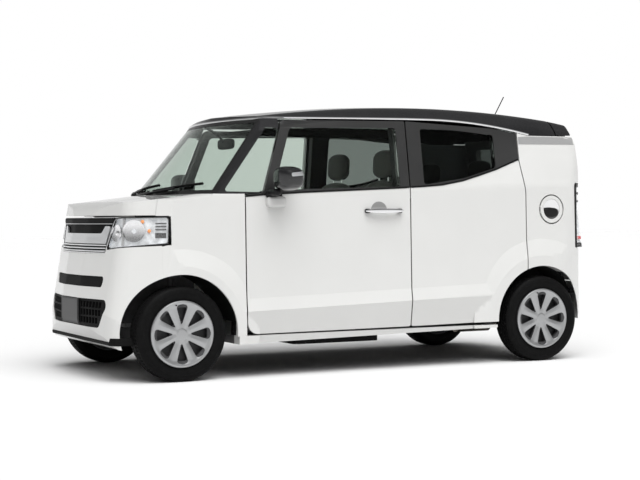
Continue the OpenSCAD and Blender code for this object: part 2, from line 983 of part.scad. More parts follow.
module rear_axle() {
    color("dimgray")
        union() {
            bar_y(rear_axle_x + 190, axle_z + 12, 42, -540, 540);
            pair() {
                box([rear_axle_x - 50, 505, axle_z - 35], [rear_axle_x + arch_r + 10 - seam, 545, axle_z + 45]);
                bar_y(rear_axle_x, axle_z, 62, 540, wheel_y - 29);
                bar_y(rear_axle_x, axle_z, spindle_r, 540, wheel_y + 32);
                box([rear_axle_x + 90, 380, axle_z + 20], [rear_axle_x + 200, 510, axle_z + 34]);
                bar_z(rear_axle_x + 145, 405, 48, axle_z + 30, 430 - seam);
            }
        }
}

module tyre_shape() {
    side = tyre_w / 2;
    sidewall = tyre_r - rim_r;
    color("black")
        rotate([-90, 0, 0])
            rotate_extrude($fn = 96)
                polygon(rounded([
                    [rim_r - 11, -side + 20, 0],
                    [rim_r + 8, -side + 20, 0],
                    [rim_r + sidewall * 0.23, -side + 7, 0],
                    [tyre_r - sidewall * 0.625, -side, min(30, sidewall * 0.35)],
                    [tyre_r, -side + 10, min(22, sidewall * 0.25)],
                    [tyre_r, side - 10, min(22, sidewall * 0.25)],
                    [tyre_r - sidewall * 0.625, side, min(30, sidewall * 0.35)],
                    [rim_r + sidewall * 0.23, side - 7, 0],
                    [rim_r + 8, side - 20, 0],
                    [rim_r - 11, side - 20, 0],
                ]));
}

// Rim with hub and a full cover with spoke windows; +Y is the outside
module wheel_shape() {
    side = tyre_w / 2;
    hole = 360 / spokes;
    rim_rows = [
        [rim_r - 11 - seam, -side + 20 - seam, 0],
        [rim_r + 6, -side + 20 - seam, 0],
        [rim_r + 6, -side + 12, 0],
        [rim_r - 4, -side + 10, 0],
        [rim_r - 22, -side + 22, 0],
        [rim_r - 22, side - 26, 0],
        [62, side - 46, 0],
        [62, -28 + seam, 0],
        [spindle_r + pin_gap, -28 + seam, 0],
        [spindle_r + pin_gap, side - 28, 0],
        [60, side - 24, 0],
        [rim_r - 24, side - 8, 30],
        [rim_r - 8, side + 1, 6],
        [rim_r + 4, side - 4, 4],
        [rim_r + 6, side - 9, 0],
        [rim_r + 6, side - 20 + seam, 0],
        [rim_r - 11 - seam, side - 20 + seam, 0],
    ];
    color("silver")
        rotate([-90, 0, 0])
            difference() {
                rotate_extrude($fn = 96)
                    polygon(rounded(rim_rows));
                for (i = [0 : spokes - 1]) {
                    rotate([0, 0, i * hole])
                        linear_extrude(far)
                            polygon(rounded([[72, -9, 6], [rim_r - 34, -34, 12], [rim_r - 34, 34, 12], [72, 9, 6]]));
                }
                for (i = [0 : hub_bolts - 1]) {
                    rotate([0, 0, (i + 0.5) * 360 / hub_bolts])
                        translate([bolt_circle_r, 0, -far / 2])
                            cylinder(r = 6.5, h = far);
                }
            }
}

// Wheel places: [name, along, side]
wheel_table = [
    ["front_left", front_axle_x, 1],
    ["front_right", front_axle_x, -1],
    ["rear_left", rear_axle_x, 1],
    ["rear_right", rear_axle_x, -1],
];
NAME = 0;
WHEEL_X = 1;
SIDE = 2;

module at_wheel(w) {
    translate([w[WHEEL_X], w[SIDE] * wheel_y, axle_z])
        rotate([0, 0, w[SIDE] > 0 ? 0 : 180])
            children();
}

// Rods: [along, left, up, radius, length]
exhaust_table = [
    [rear_axle_x - 150, -120, sill_z - 32, 20, wheelbase + 20],
    [rear_axle_x - 150, -160, sill_z - 20, 52, 270],
    [tail_x + 50, -160, sill_z - 32, 18, 240],
];

module exhaust() {
    color("gray")
        union() {
            for (rod = exhaust_table) {
                translate([rod[0], rod[1], rod[2]])
                    rotate([0, 90, 0])
                        cylinder(r = rod[3], h = rod[4]);
            }
            for (x = [rear_axle_x + arch_r + 40, front_axle_x - arch_r - 60]) {
                box([x - 10, -128, sill_z - 30], [x + 10, -112, under_z(x + 10) - seam]);
            }
        }
}

module fuel_tank() {
    front = b_x + 720;
    rear = b_x + 120;
    color("dimgray")
        along_z([[rear, 40, 40], [front, 40, 40], [front, 520, 40], [rear, 520, 40]],
            sill_z - 38, under_z(front) - seam);
}

module dashboard() {
    face_x = front_axle_x - 210 - seam;
    color("dimgray")
        union() {
            along_y([
                [face_x, 700, 0],
                [face_x, hood_z - 62, 0],
                [face_x - 120, hood_z - 62, 60],
                [face_x - 235, hood_z - 100, 50],
                [face_x - 225, 800, 60],
                [face_x - 120, 700, 40],
            ], 2 * half_w - 284);
            helm_place()
                translate([0, 0, -330])
                    cylinder(r = 26, h = 306);
            helm_place()
                translate([0, 0, -100])
                    cylinder(r = 9, h = 120);
        }
}

// The steering wheel axis; +Z points at the driver
module helm_place() {
    translate([helm_x, helm_y, helm_z])
        rotate([0, -90 + column_lean, 0])
            children();
}

module steering_wheel() {
    color("black")
        helm_place()
            difference() {
                union() {
                    rotate_extrude($fn = 64)
                        translate([172, 0])
                            circle(r = 13, $fn = 24);
                    cylinder(r = 52, h = 34, center = true);
                    for (a = [0, 140, 220]) {
                        rotate([0, 0, a])
                            box([40, -16, -7], [168, 16, 7]);
                    }
                }
                translate([0, 0, -40])
                    cylinder(r = 9 + pin_gap, h = 61);
            }
}

module seat(width) {
    along_y([[-160, 350, 30], [390, 380, 50], [380, 540, 50], [-90, 500, 60], [-130, 540, 0]], width);
    along_y([[-60, 500, 40], [-240, 1195, 60], [-350, 1180, 50], [-190, 420, 40]], width);
}

module front_seats() {
    color("slategray")
        for (s = [-1, 1]) {
            translate([b_x + 270, s * 325, 0])
                union() {
                    seat(500);
                    along_y([[-250, 1180, 0], [-265, 1390, 38], [-350, 1380, 36], [-330, 1150, 0]], 270);
                    box([-60, -190, sill_top_z + seam], [320, 190, 420]);
                }
        }
}

module rear_seat() {
    color("slategray")
        translate([rear_axle_x, 0, 0])
            union() {
                along_y([[380, 430, 40], [720, 450, 50], [710, 600, 50], [380, 585, 30]], 2 * half_w - 270);
                along_y([[420, 560, 40], [290, 1180, 60], [180, 1160, 50], [300, 560, 30]], 2 * half_w - 290);
                for (s = [-1, 1]) {
                    translate([0, s * 320, 0])
                        along_y([[270, 1150, 0], [250, 1330, 30], [180, 1320, 30], [200, 1130, 0]], 240);
                }
                box([arch_r + 30, -500, sill_top_z + seam], [620, 500, 460]);
            }
}

module antenna() {
    color("black")
        translate([antenna_x, 0, tail_slope_z(antenna_x)])
            rotate([0, -atan(tail_slope), 0])
                translate([0, 0, seam])
                    union() {
                        cylinder(r1 = 24, r2 = 18, h = 16);
                        translate([0, 0, 10])
                            rotate([0, -18, 0])
                                cylinder(r = 3.5, h = 205);
                    }
}

module hood() {
    color("white")
        union() {
            difference() {
                intersection() {
                    shell(0, skin_t + 4);
                    along_z(hood_rows, hood_z - 128, far);
                }
                screen_cylinder(-hood_back);
            }
            pair()
                difference() {
                    union() {
                        box([hood_hinge_x, hood_hinge_y - 10, hood_hinge_z - 6],
                            [hood_hinge_x + 140, hood_hinge_y + 10, hood_hinge_z + 6]);
                        box([hood_hinge_x + 95, hood_hinge_y - 10, hood_hinge_z - 6],
                            [hood_hinge_x + 140, hood_hinge_y + 10, hood_z - 17]);
                        bar_y(hood_hinge_x, hood_hinge_z, barrel_r, hood_hinge_y - 10, hood_hinge_y + 10);
                    }
                    bar_y(hood_hinge_x, hood_hinge_z, pin_r + pin_gap, hood_hinge_y - 60, hood_hinge_y + 60);
                }
        }
}

// Ears on the filler pocket that the fuel lid turns between
module lid_ears(grow) {
    for (s = [-1, 1]) {
        translate([0, 0, lid_z + s * 19])
            box([lid_hinge_x - 5 - grow, lid_hinge_y - 5 - 3 * grow, -3 - grow],
                [lid_x + lid_r + 8, lid_hinge_y + 3.5 + 4 * grow, 3 + grow]);
    }
}

module fuel_lid() {
    color("white")
        difference() {
            union() {
                intersection() {
                    shell(0, skin_t + 1);
                    bar_y(lid_x, lid_z, lid_r, half_w - 100, far);
                }
                bar_z(lid_hinge_x, lid_hinge_y, 4.5, lid_z - 13, lid_z + 13);
            }
            lid_ears(2);
            bar_z(lid_hinge_x, lid_hinge_y, 2 + pin_gap, lid_z - 60, lid_z + 60);
        }
}

module tailgate() {
    arm_z = gate_hinge_z - 29;
    color("white")
        difference() {
            union() {
                intersection() {
                    shell(0, gate_t);
                    along_x(both(gate_half), tail_x - 100, rear_axle_x - 200);
                }
                for (side = [-1, 1]) {
                    translate([0, side * gate_hinge_y, 0]) {
                        box([gate_top_x + 116, -10, arm_z], [gate_hinge_x + 4, 10, arm_z + 15]);
                        box([gate_top_x + 116, -10, overall_h - 190], [gate_top_x + 146, 10, arm_z + 15]);
                        box([gate_hinge_x - 6, -10, arm_z], [gate_hinge_x + 4, 10, gate_hinge_z]);
                        bar_y(gate_hinge_x, gate_hinge_z, barrel_r, -10, 10);
                    }
                }
            }
            for (side = [-1, 1]) {
                bar_y(gate_hinge_x, gate_hinge_z, pin_r - 1 + pin_gap, side * gate_hinge_y - 30,
                    side * gate_hinge_y + 30);
            }
            along_x(both(gate_window_half), tail_x - 100, rear_axle_x - 200);
            box([tail_x - 100, -plate_l / 2 - 14, plate_z - plate_h / 2 - 12],
                [tail_x + 22, plate_l / 2 + 14, plate_z + plate_h / 2 + 12]);
            for (s = [-1, 1]) {
                translate([tail_x - 100, s * plate_bolts / 2, plate_z + plate_h / 2 - 20])
                    rotate([0, 90, 0])
                        cylinder(r = 3.3, h = 200);
            }
        }
}

module tailgate_glass() {
    color("dimgray", 0.6)
        intersection() {
            shell(8, 8 + glass_t);
            along_x(inset(both(gate_window_half), seam), tail_x - 100, rear_axle_x - 200);
        }
}

module spoiler() {
    foot_z = roof_line(rear_axle_x + 60) + 7;
    rows = [
        [gate_top_x + 197.5, foot_z, 0],
        [gate_top_x + 197.5, overall_h - 89.5, 0],
        [gate_top_x + 76, overall_h - 114, 12],
        [gate_top_x + 76, foot_z, 8],
    ];
    color("black")
        difference() {
            intersection() {
                along_y(rows, far);
                along_z(plan_rows, 0, far);
                roof_sweep(0);
                side_walls(0);
            }
            box([tail_x, -595, 0], [far, 595, overall_h - 178 + seam]);
            for (side = [-1, 1]) {
                translate([0, side * gate_hinge_y, 0]) {
                    box([gate_top_x + 166, -28, 0], [gate_top_x + 210, 28, far]);
                    box([gate_top_x + 115, -11, 0], [gate_top_x + 170, 11, gate_hinge_z - 13]);
                }
            }
        }
}

module rear_bumper() {
    color("white")
        difference() {
            intersection() {
                shell(0, skin_t);
                along_y(rear_bumper_rows, far);
            }
            pair()
                arch(rear_axle_x, 0);
            along_x(both(gate_opening_half), tail_x - 100, rear_axle_x - 200);
        }
}

module tail_lamps() {
    color("gainsboro")
        difference() {
            intersection() {
                shell(0, door_t);
                along_y(tail_lamp_rows, far);
            }
            along_x(both(gate_opening_half), tail_x - 100, rear_axle_x - 200);
        }
}

// Door of an outer skin and an inner box that stays clear of the hinge edge
module door(rows, window, lead_x, hinge_x) {
    union() {
        difference() {
            union() {
                intersection() {
                    shell(0, skin_t);
                    left_prism(rows);
                }
                intersection() {
                    wall(skin_t - 2, door_t);
                    left_prism(inset(rows, 30));
                    box([-far, 0, 0], [lead_x - hinge_back - 20, far, hood_z]);
                }
                intersection() {
                    shell(skin_t - 2, door_t - 4);
                    left_prism(inset(rows, 8));
                    box([-far, 0, hood_z - 30], [lead_x - hinge_back + 44, far, far]);
                }
            }
            left_prism(window);
        }
        door_leaves(hinge_x);
    }
}

module front_door_left() {
    lead = door_front_x - half_gap;
    color("white")
        door(front_door_rows, front_window_rows, lead, lead - hinge_back);
}

module rear_door_left() {
    lead = b_x - half_gap;
    color("white")
        difference() {
            door(rear_door_rows, rear_window_rows, lead, lead - hinge_back);
            arch(rear_axle_x, 0);
            intersection() {
                arch(rear_axle_x, 40);
                body_block(skin_t);
            }
        }
}

module door_glass_left(window) {
    color("lightcyan", 0.5)
        intersection() {
            shell(12, 12 + glass_t);
            left_prism(inset(window, seam));
        }
}

module mirror_left() {
    x = door_front_x - 168;
    color("black")
        union() {
            along_y_from([
                [x - 124, hood_z + 20, 24],
                [x + 4, hood_z + 16, 40],
                [x + 26, hood_z + 100, 46],
                [x - 20, hood_z + 154, 46],
                [x - 124, hood_z + 150, 16],
            ], half_w + 28, half_w + 218);
            along_y_from([
                [x - 20, hood_z - 28, 6],
                [x + 30, hood_z - 28, 6],
                [x + 16, hood_z + 60, 0],
                [x - 30, hood_z + 60, 0],
            ], half_w - 23, half_w + 60);
        }
}

module along_y_from(rows, from, to) {
    translate([0, to, 0])
        rotate([90, 0, 0])
            linear_extrude(to - from)
                polygon(rounded(rows));
}

module handle_left() {
    x = b_x + 197;
    z = 987;
    color("silver")
        union() {
            along_y_from([[x - 134, z - 13, 12], [x + 134, z - 13, 12], [x + 134, z + 13, 12], [x - 134, z + 13, 12]],
                half_w + 8, half_w + 24);
            for (s = [-1, 1]) {
                bar_y(x + s * 108, z, 10, half_w - 20.8, half_w + 14);
            }
        }
}

floor_pan();
front_pillars();
centre_pillars();
quarter_panels();
roof();
windscreen();
quarter_glass();
firewall();
front_fenders();
wheel_liners();
front_bumper();
lower_grille();
grille();
headlamps();
engine();
front_frame();
front_suspension();
rear_axle();
exhaust();
fuel_tank();
dashboard();
front_seats();
rear_seat();
antenna();
rear_bumper();
tail_lamps();
steering_wheel();
hood();
fuel_lid();
tailgate();
tailgate_glass();
spoiler();
knuckle_left();  // left_knuckle
mirror([0, 1, 0]) knuckle_left();  // right_knuckle
front_door_left();  // left_front_door
door_glass_left(front_window_rows);  // left_front_glass
mirror_left();  // left_mirror
handle_left();  // left_handle
rear_door_left();  // left_rear_door
door_glass_left(rear_window_rows);  // left_rear_glass
mirror([0, 1, 0]) front_door_left();  // right_front_door
mirror([0, 1, 0]) door_glass_left(front_window_rows);  // right_front_glass
mirror([0, 1, 0]) mirror_left();  // right_mirror
mirror([0, 1, 0]) handle_left();  // right_handle
mirror([0, 1, 0]) rear_door_left();  // right_rear_door
mirror([0, 1, 0]) door_glass_left(rear_window_rows);  // right_rear_glass
for (w = wheel_table) {
    at_wheel(w) tyre_shape();
    at_wheel(w) wheel_shape();
}
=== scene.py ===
import bpy
import bmesh
import math
import numpy as np
from mathutils import Matrix, Vector
from mathutils.bvhtree import BVHTree
from mathutils.geometry import delaunay_2d_cdt


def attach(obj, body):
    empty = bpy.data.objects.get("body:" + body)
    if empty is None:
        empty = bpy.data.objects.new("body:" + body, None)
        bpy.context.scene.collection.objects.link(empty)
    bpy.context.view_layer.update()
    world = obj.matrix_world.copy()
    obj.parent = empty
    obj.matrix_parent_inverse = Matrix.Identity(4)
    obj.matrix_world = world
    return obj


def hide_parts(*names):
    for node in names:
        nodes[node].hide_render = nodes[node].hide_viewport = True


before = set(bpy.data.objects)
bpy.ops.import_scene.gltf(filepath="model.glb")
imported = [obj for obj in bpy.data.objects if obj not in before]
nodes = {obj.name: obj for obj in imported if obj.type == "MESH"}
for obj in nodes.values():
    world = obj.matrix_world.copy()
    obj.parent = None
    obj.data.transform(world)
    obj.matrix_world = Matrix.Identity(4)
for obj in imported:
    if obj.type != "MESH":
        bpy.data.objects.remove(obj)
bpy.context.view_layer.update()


# Materials
COAT_ROUGH = 0.03
BUMP_DEPTH = 0.001
# How far a finish's roughness varies, as a share of it
ROUGH_SPREAD = 0.08


def shader(name):
    """A new material with its node tree and its main shader."""
    mat = bpy.data.materials.new(name)
    mat.use_nodes = True
    tree = mat.node_tree
    return mat, tree, tree.nodes["Principled BSDF"]


def math_node(tree, kind, a, b):
    """The result of a calculation with two values, each a number or a socket."""
    node = tree.nodes.new("ShaderNodeMath")
    node.operation = kind
    for socket, value in zip(node.inputs, (a, b)):
        if isinstance(value, (int, float)):
            socket.default_value = value
        else:
            tree.links.new(value, socket)
    return node.outputs[0]


def place_of(tree, kind="Object"):
    """The x, y and z of the point that is shaded."""
    place = tree.nodes.new("ShaderNodeTexCoord")
    split = tree.nodes.new("ShaderNodeSeparateXYZ")
    tree.links.new(place.outputs[kind], split.inputs["Vector"])
    return [split.outputs[k] for k in "XYZ"]


def span_of(tree, value, low, high):
    """A range of a value, brought to 0 to 1."""
    span = tree.nodes.new("ShaderNodeMapRange")
    span.inputs["From Min"].default_value = low
    span.inputs["From Max"].default_value = high
    tree.links.new(value, span.inputs["Value"])
    return span


def choose(tree, pick, off, on):
    """One of two colours."""
    mix = tree.nodes.new("ShaderNodeMix")
    mix.data_type = "RGBA"
    tree.links.new(pick, mix.inputs["Factor"])
    tree.links.new(off, mix.inputs["A"])
    tree.links.new(on, mix.inputs["B"])
    return mix.outputs["Result"]


def noise(tree, scale, detail=4.0, stretch=(1, 1, 1)):
    """Soft spots in the part's frame, 0 to 1."""
    place = tree.nodes.new("ShaderNodeTexCoord")
    turn = tree.nodes.new("ShaderNodeMapping")
    turn.inputs["Scale"].default_value = stretch
    tree.links.new(place.outputs["Object"], turn.inputs["Vector"])
    tex = tree.nodes.new("ShaderNodeTexNoise")
    tex.inputs["Scale"].default_value = scale
    tex.inputs["Detail"].default_value = detail
    tree.links.new(turn.outputs["Vector"], tex.inputs["Vector"])
    return tex.outputs["Fac"]


def ramp(tree, value, low, high):
    """A value from 0 to 1, brought to another range."""
    r = tree.nodes.new("ShaderNodeMapRange")
    r.inputs["To Min"].default_value = low
    r.inputs["To Max"].default_value = high
    tree.links.new(value, r.inputs["Value"])
    return r.outputs["Result"]


def tint(tree, value, dark, light):
    """A colour between two others."""
    r = tree.nodes.new("ShaderNodeValToRGB")
    r.color_ramp.elements[0].position = 0.3
    r.color_ramp.elements[1].position = 0.7
    r.color_ramp.elements[0].color = (*dark, 1)
    r.color_ramp.elements[1].color = (*light, 1)
    tree.links.new(value, r.inputs["Fac"])
    return r.outputs["Color"]


def relief(tree, p):
    """Lets shallow creases and flares of a painted side show."""
    face = tree.nodes.new("ShaderNodeNewGeometry")
    turn = tree.nodes.new("ShaderNodeVectorMath")
    turn.operation = "MULTIPLY"
    turn.inputs[1].default_value = (1, 1, RELIEF)
    tree.links.new(face.outputs["Normal"], turn.inputs[0])
    unit = tree.nodes.new("ShaderNodeVectorMath")
    unit.operation = "NORMALIZE"
    tree.links.new(turn.outputs["Vector"], unit.inputs[0])
    tree.links.new(unit.outputs["Vector"], p.inputs["Normal"])


def finish(name, color, rough=0.5, metal=0.0, coat=0.0, specular=0.5, vary=0.04, grain=30.0, bump=0.0,
           bump_scale=400.0, stretch=(1, 1, 1), sheen=0.0):
    """A surface with small changes of colour and roughness, and with grain where bump is given."""
    mat, tree, p = shader(name)
    fac = noise(tree, grain, stretch=stretch)
    dark = tuple(max(c * (1 - vary), 0) for c in color)
    light = tuple(min(c * (1 + vary), 1) for c in color)
    tree.links.new(tint(tree, fac, dark, light), p.inputs["Base Color"])
    smoother, rougher = rough * (1 - ROUGH_SPREAD), min(rough * (1 + ROUGH_SPREAD), 1)
    tree.links.new(ramp(tree, fac, smoother, rougher), p.inputs["Roughness"])
    p.inputs["Metallic"].default_value = metal
    p.inputs["Coat Weight"].default_value = coat
    p.inputs["Coat Roughness"].default_value = COAT_ROUGH
    p.inputs["Specular IOR Level"].default_value = specular
    p.inputs["Sheen Weight"].default_value = sheen
    if bump:
        b = tree.nodes.new("ShaderNodeBump")
        b.inputs["Strength"].default_value = bump
        b.inputs["Distance"].default_value = BUMP_DEPTH
        tree.links.new(noise(tree, bump_scale, 6.0, stretch), b.inputs["Height"])
        tree.links.new(b.outputs["Normal"], p.inputs["Normal"])
    return mat


def clear_shader(p, ior):
    """Makes a shader smooth and transparent."""
    p.inputs["Roughness"].default_value = 0.0
    p.inputs["Transmission Weight"].default_value = 1.0
    p.inputs["IOR"].default_value = ior


def glass(name, color):
    """Thin tinted glass."""
    mat, tree, p = shader(name)
    fac = noise(tree, 3.0)
    tree.links.new(tint(tree, fac, tuple(c * 0.985 for c in color), color), p.inputs["Base Color"])
    clear_shader(p, 1.15)
    return mat


# The body's white, and how much the height part of its shading normal grows
PAINT = (0.62, 0.62, 0.608)
RELIEF = 2.2


def paint_tint(tree, fac):
    """The body's white, a little darker and lighter in spots."""
    return tint(tree, fac, [c * 0.99 for c in PAINT], [c * 1.01 for c in PAINT])


white = finish("white_paint", PAINT, 0.32, coat=1.0, vary=0.012, grain=4.0)
relief(white.node_tree, white.node_tree.nodes["Principled BSDF"])
black = finish("black_paint", (0.012, 0.012, 0.013), 0.22, coat=0.6, vary=0.15, grain=6.0, specular=0.4)
satin_black = finish("satin_black", (0.010, 0.010, 0.0105), 0.38, vary=0.1, grain=40.0, bump=0.05, specular=0.18)
plastic = finish("black_plastic", (0.006, 0.006, 0.006), 0.6, vary=0.2, grain=60.0, bump=0.25, bump_scale=900,
                 specular=0.07)
rubber = finish("tyre_rubber", (0.0045, 0.0045, 0.0046), 0.55, vary=0.25, grain=50.0, bump=0.2, bump_scale=700,
                specular=0.07)
seal = finish("seal_rubber", (0.008, 0.008, 0.008), 0.7, vary=0.2, grain=80.0, specular=0.1)
chrome = finish("chrome", (0.82, 0.82, 0.83), 0.06, metal=1.0, vary=0.01)
silver = finish("silver_paint", (0.60, 0.61, 0.62), 0.3, metal=0.75, coat=0.5, vary=0.03, grain=900.0)
cover_silver = finish("cover_silver", (0.40, 0.405, 0.41), 0.36, metal=0.9, coat=0.2, vary=0.04, grain=900.0)
steel = finish("dark_steel", (0.05, 0.05, 0.052), 0.55, metal=0.4, vary=0.2, grain=40.0, bump=0.15)
under = finish("underbody_paint", (0.05, 0.05, 0.052), 0.7, vary=0.3, grain=25.0, bump=0.3, bump_scale=300)
alloy = finish("cast_alloy", (0.42, 0.43, 0.44), 0.5, metal=0.8, vary=0.15, grain=60.0, bump=0.4, bump_scale=250)
exhaust_steel = finish("exhaust_steel", (0.30, 0.27, 0.24), 0.45, metal=0.9, vary=0.3, grain=18.0)
cabin = finish("cabin_plastic", (0.07, 0.07, 0.068), 0.6, vary=0.12, grain=90.0, bump=0.35, bump_scale=1100)
fabric = finish("seat_fabric", (0.16, 0.155, 0.145), 0.9, vary=0.25, grain=500.0, bump=0.6, bump_scale=1500,
                sheen=0.3)
clear = glass("green_glass", (0.70, 0.755, 0.715))
dark_glass = glass("privacy_glass", (0.20, 0.22, 0.21))

DOORS = ["left_front_door", "left_rear_door", "right_front_door", "right_rear_door"]
WHEEL_NAMES = ["front_left", "front_right", "rear_left", "rear_right"]
look = {
    white: ["quarter_panels", "front_fenders", "front_bumper", "rear_bumper", "hood", "fuel_lid", "tailgate", *DOORS],
    black: ["front_pillars", "roof", "spoiler", "left_mirror", "right_mirror"],
    satin_black: ["centre_pillars"],
    plastic: ["wheel_liners", "lower_grille", "fuel_tank", "antenna"],
    silver: ["grille", "headlamps", "tail_lamps"],
    steel: [n + "_wheel" for n in WHEEL_NAMES] + ["left_knuckle", "right_knuckle", "rear_axle", "front_suspension"],
    under: ["floor_pan", "firewall", "front_frame"],
    alloy: ["engine"],
    exhaust_steel: ["exhaust"],
    cabin: ["dashboard", "steering_wheel"],
    fabric: ["front_seats", "rear_seat"],
    chrome: ["left_handle", "right_handle"],
    rubber: [n + "_tyre" for n in WHEEL_NAMES],
    clear: ["windscreen", "quarter_glass", "left_front_glass", "right_front_glass"],
    dark_glass: ["tailgate_glass", "left_rear_glass", "right_rear_glass"],
}


# Creases of the body sides and rims of the wheel flares, in metres
CREASE_Z = (0.418, 0.494)
CREASE_RISE = -math.tan(math.radians(1.66))
CREASE_ANGLE = math.radians(4.5)
CREASE_NEAR = 0.004
SIDE_X = (-1.48, 1.40)
SIDE_Y = 0.69
AXLES = (1.25, -1.27)
AXLE_Z = 0.278
FLARE_R = (0.36, 0.53)
PLACES_PER_METRE = 50000
WELD_GAP = 0.00002
# Sharpest edge that is shaded smooth, in degrees: CAD nodes, sheets, rounded blocks and pillows
EDGE_ANGLE = 32
SHEET_ANGLE = 40
ROUND_ANGLE = 60
SOFT_ANGLE = 80


def on_crease(mid, along):
    """Whether an edge lies on a side crease or on the rim of a wheel flare."""
    if abs(mid.y) < SIDE_Y or not SIDE_X[0] < mid.x < SIDE_X[1]:
        return False
    level = mid.z - CREASE_RISE * mid.x
    if abs(along.z) < 0.2 and min(abs(level - z) for z in CREASE_Z) < CREASE_NEAR:
        return True
    for axle in AXLES:
        arm = Vector((mid.x - axle, 0, mid.z - AXLE_Z))
        if FLARE_R[0] < arm.length < FLARE_R[1] and abs(arm.normalized().dot(along)) < 0.5:
            return True
    return False


def keep_creases(obj):
    """Marks shallow creases, which smooth shading would wash out."""
    mesh = obj.data
    world = [obj.matrix_world @ v.co for v in mesh.vertices]
    place = [tuple(round(c * PLACES_PER_METRE) for c in w) for w in world]
    sides = {}
    for poly in mesh.polygons:
        for a, b in poly.edge_keys:
            sides.setdefault(tuple(sorted((place[a], place[b]))), []).append(poly.normal)
    for edge in mesh.edges:
        a, b = edge.vertices
        faces = sides[tuple(sorted((place[a], place[b])))]
        bent = len(faces) == 2 and faces[0].angle(faces[1], 0) > CREASE_ANGLE
        if bent and on_crease((world[a] + world[b]) / 2, (world[b] - world[a]).normalized()):
            edge.use_edge_sharp = True


def smooth(obj, angle=EDGE_ANGLE):
    """Smooth shading that stops at edges sharper than an angle in degrees."""
    for poly in obj.data.polygons:
        poly.use_smooth = True
    keep_creases(obj)
    weld = obj.modifiers.new("weld", "WELD")
    weld.merge_threshold = WELD_GAP
    split = obj.modifiers.new("split", "EDGE_SPLIT")
    split.split_angle = math.radians(angle)
    obj.modifiers.new("normals", "WEIGHTED_NORMAL")


def dress(name, mat):
    """Gives a CAD node its material."""
    nodes[name].data.materials.clear()
    nodes[name].data.materials.append(mat)


for mat, names in look.items():
    for n in names:
        dress(n, mat)
        smooth(nodes[n])


# Shapes
MM = 0.001
LEFT, RIGHT = 1, -1
SIDE_NAME = {LEFT: "left", RIGHT: "right"}
ARC_STEP = math.radians(7)


def add(name, verts, faces, mat, body, angle=EDGE_ANGLE, thick=0.0):
    """A new piece that rides on a body. A sheet gets a thickness, inwards."""
    mesh = bpy.data.meshes.new(name)
    mesh.from_pydata([tuple(v) for v in verts], [], faces)
    mesh.materials.append(mat)
    obj = bpy.data.objects.new(name, mesh)
    bpy.context.scene.collection.objects.link(obj)
    if thick:
        solid = obj.modifiers.new("thick", "SOLIDIFY")
        solid.thickness = thick
        solid.offset = -1
    smooth(obj, angle)
    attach(obj, body)
    return obj


def outline(rows):
    """A closed line in metres from corners in millimetres, each with a radius."""
    pts = []
    k = len(rows)
    for i, (x, z, r) in enumerate(rows):
        if r == 0:
            pts.append((x * MM, z * MM))
            continue
        p, q, s = (Vector(rows[j % k][:2]) for j in (i - 1, i, i + 1))
        u, v = (p - q).normalized(), (s - q).normalized()
        half = math.acos(max(-1, min(1, u.dot(v)))) / 2
        c = q + (u + v).normalized() * r / math.sin(half)
        a, b = q + u * r / math.tan(half) - c, q + v * r / math.tan(half) - c
        a0 = math.atan2(a.y, a.x)
        d = (math.atan2(b.y, b.x) - a0 + 3 * math.pi) % (2 * math.pi) - math.pi
        n = max(3, int(abs(d) / ARC_STEP))
        pts += [((c.x + r * math.cos(a0 + d * j / n)) * MM, (c.y + r * math.sin(a0 + d * j / n)) * MM)
                for j in range(n + 1)]
    return pts


def bands(rows, n):
    """Faces between closed rows of n points."""
    return [(i * n + j, i * n + (j + 1) % n, (i + 1) * n + (j + 1) % n, (i + 1) * n + j)
            for i in range(rows - 1) for j in range(n)]


def resample(loop, step):
    """A closed line with points about a step apart."""
    out = []
    for a, b in zip(loop, loop[1:] + loop[:1]):
        n = max(1, int(math.dist(a, b) / step + 0.5))
        out += [tuple(p + (q - p) * i / n for p, q in zip(a, b)) for i in range(n)]
    return out


def search_tree(mesh, hull=False):
    """A mesh, or its hull, ready for rays."""
    bm = bmesh.new()
    bm.from_mesh(mesh)
    if hull:
        bmesh.ops.convex_hull(bm, input=bm.verts)
    tree = BVHTree.FromBMesh(bm)
    bm.free()
    return tree


def surface(name, hull=False):
    """A CAD node, ready for rays."""
    return search_tree(nodes[name].data, hull)


# Ways of looking at the body: from a place in a plane to a start point and a direction
CORNER = math.radians(45)


def from_side(side):
    return lambda u, v: (Vector((u, side * 3, v)), Vector((0, -side, 0)))


def from_front(u, v):
    return Vector((4, u, v)), Vector((-1, 0, 0))


def from_rear(u, v):
    return Vector((-4, u, v)), Vector((1, 0, 0))


def from_corner(side):
    c, s = math.cos(CORNER), math.sin(CORNER)
    across, out = Vector((-s, c * side, 0)), Vector((c, s * side, 0))
    return lambda u, v: (across * u + out * 4 + Vector((0, 0, v)), -out)


# Where along a ray that meets nothing the nearest point of the surface is looked up, in metres
MISS_DEPTH = 2.6


def cast(tree, ray, u, v, lift=0.0):
    """A point of a surface, lifted off it against the ray."""
    start, way = ray(u, v)
    hit = tree.ray_cast(start, way)[0]
    if hit is None:
        near = tree.find_nearest(start + way * MISS_DEPTH)[0]
        hit = start + way * (near - start).dot(way)
    return hit - way * lift


def facing(tree, ray, u, v, step=0.02):
    """The outward direction of a surface at a place."""
    across = cast(tree, ray, u + step, v) - cast(tree, ray, u - step, v)
    up = cast(tree, ray, u, v + step) - cast(tree, ray, u, v - step)
    normal = across.cross(up).normalized()
    return normal if normal.dot(ray(0, 0)[1]) < 0 else -normal


# The kind of result that delaunay_2d_cdt is asked for, and the distance at which it joins points
INSIDE_WITHOUT_HOLES = 2
JOIN_GAP = 1e-7
# Least distance of an inner point from the rim, in steps
RIM_CLEAR = 0.6


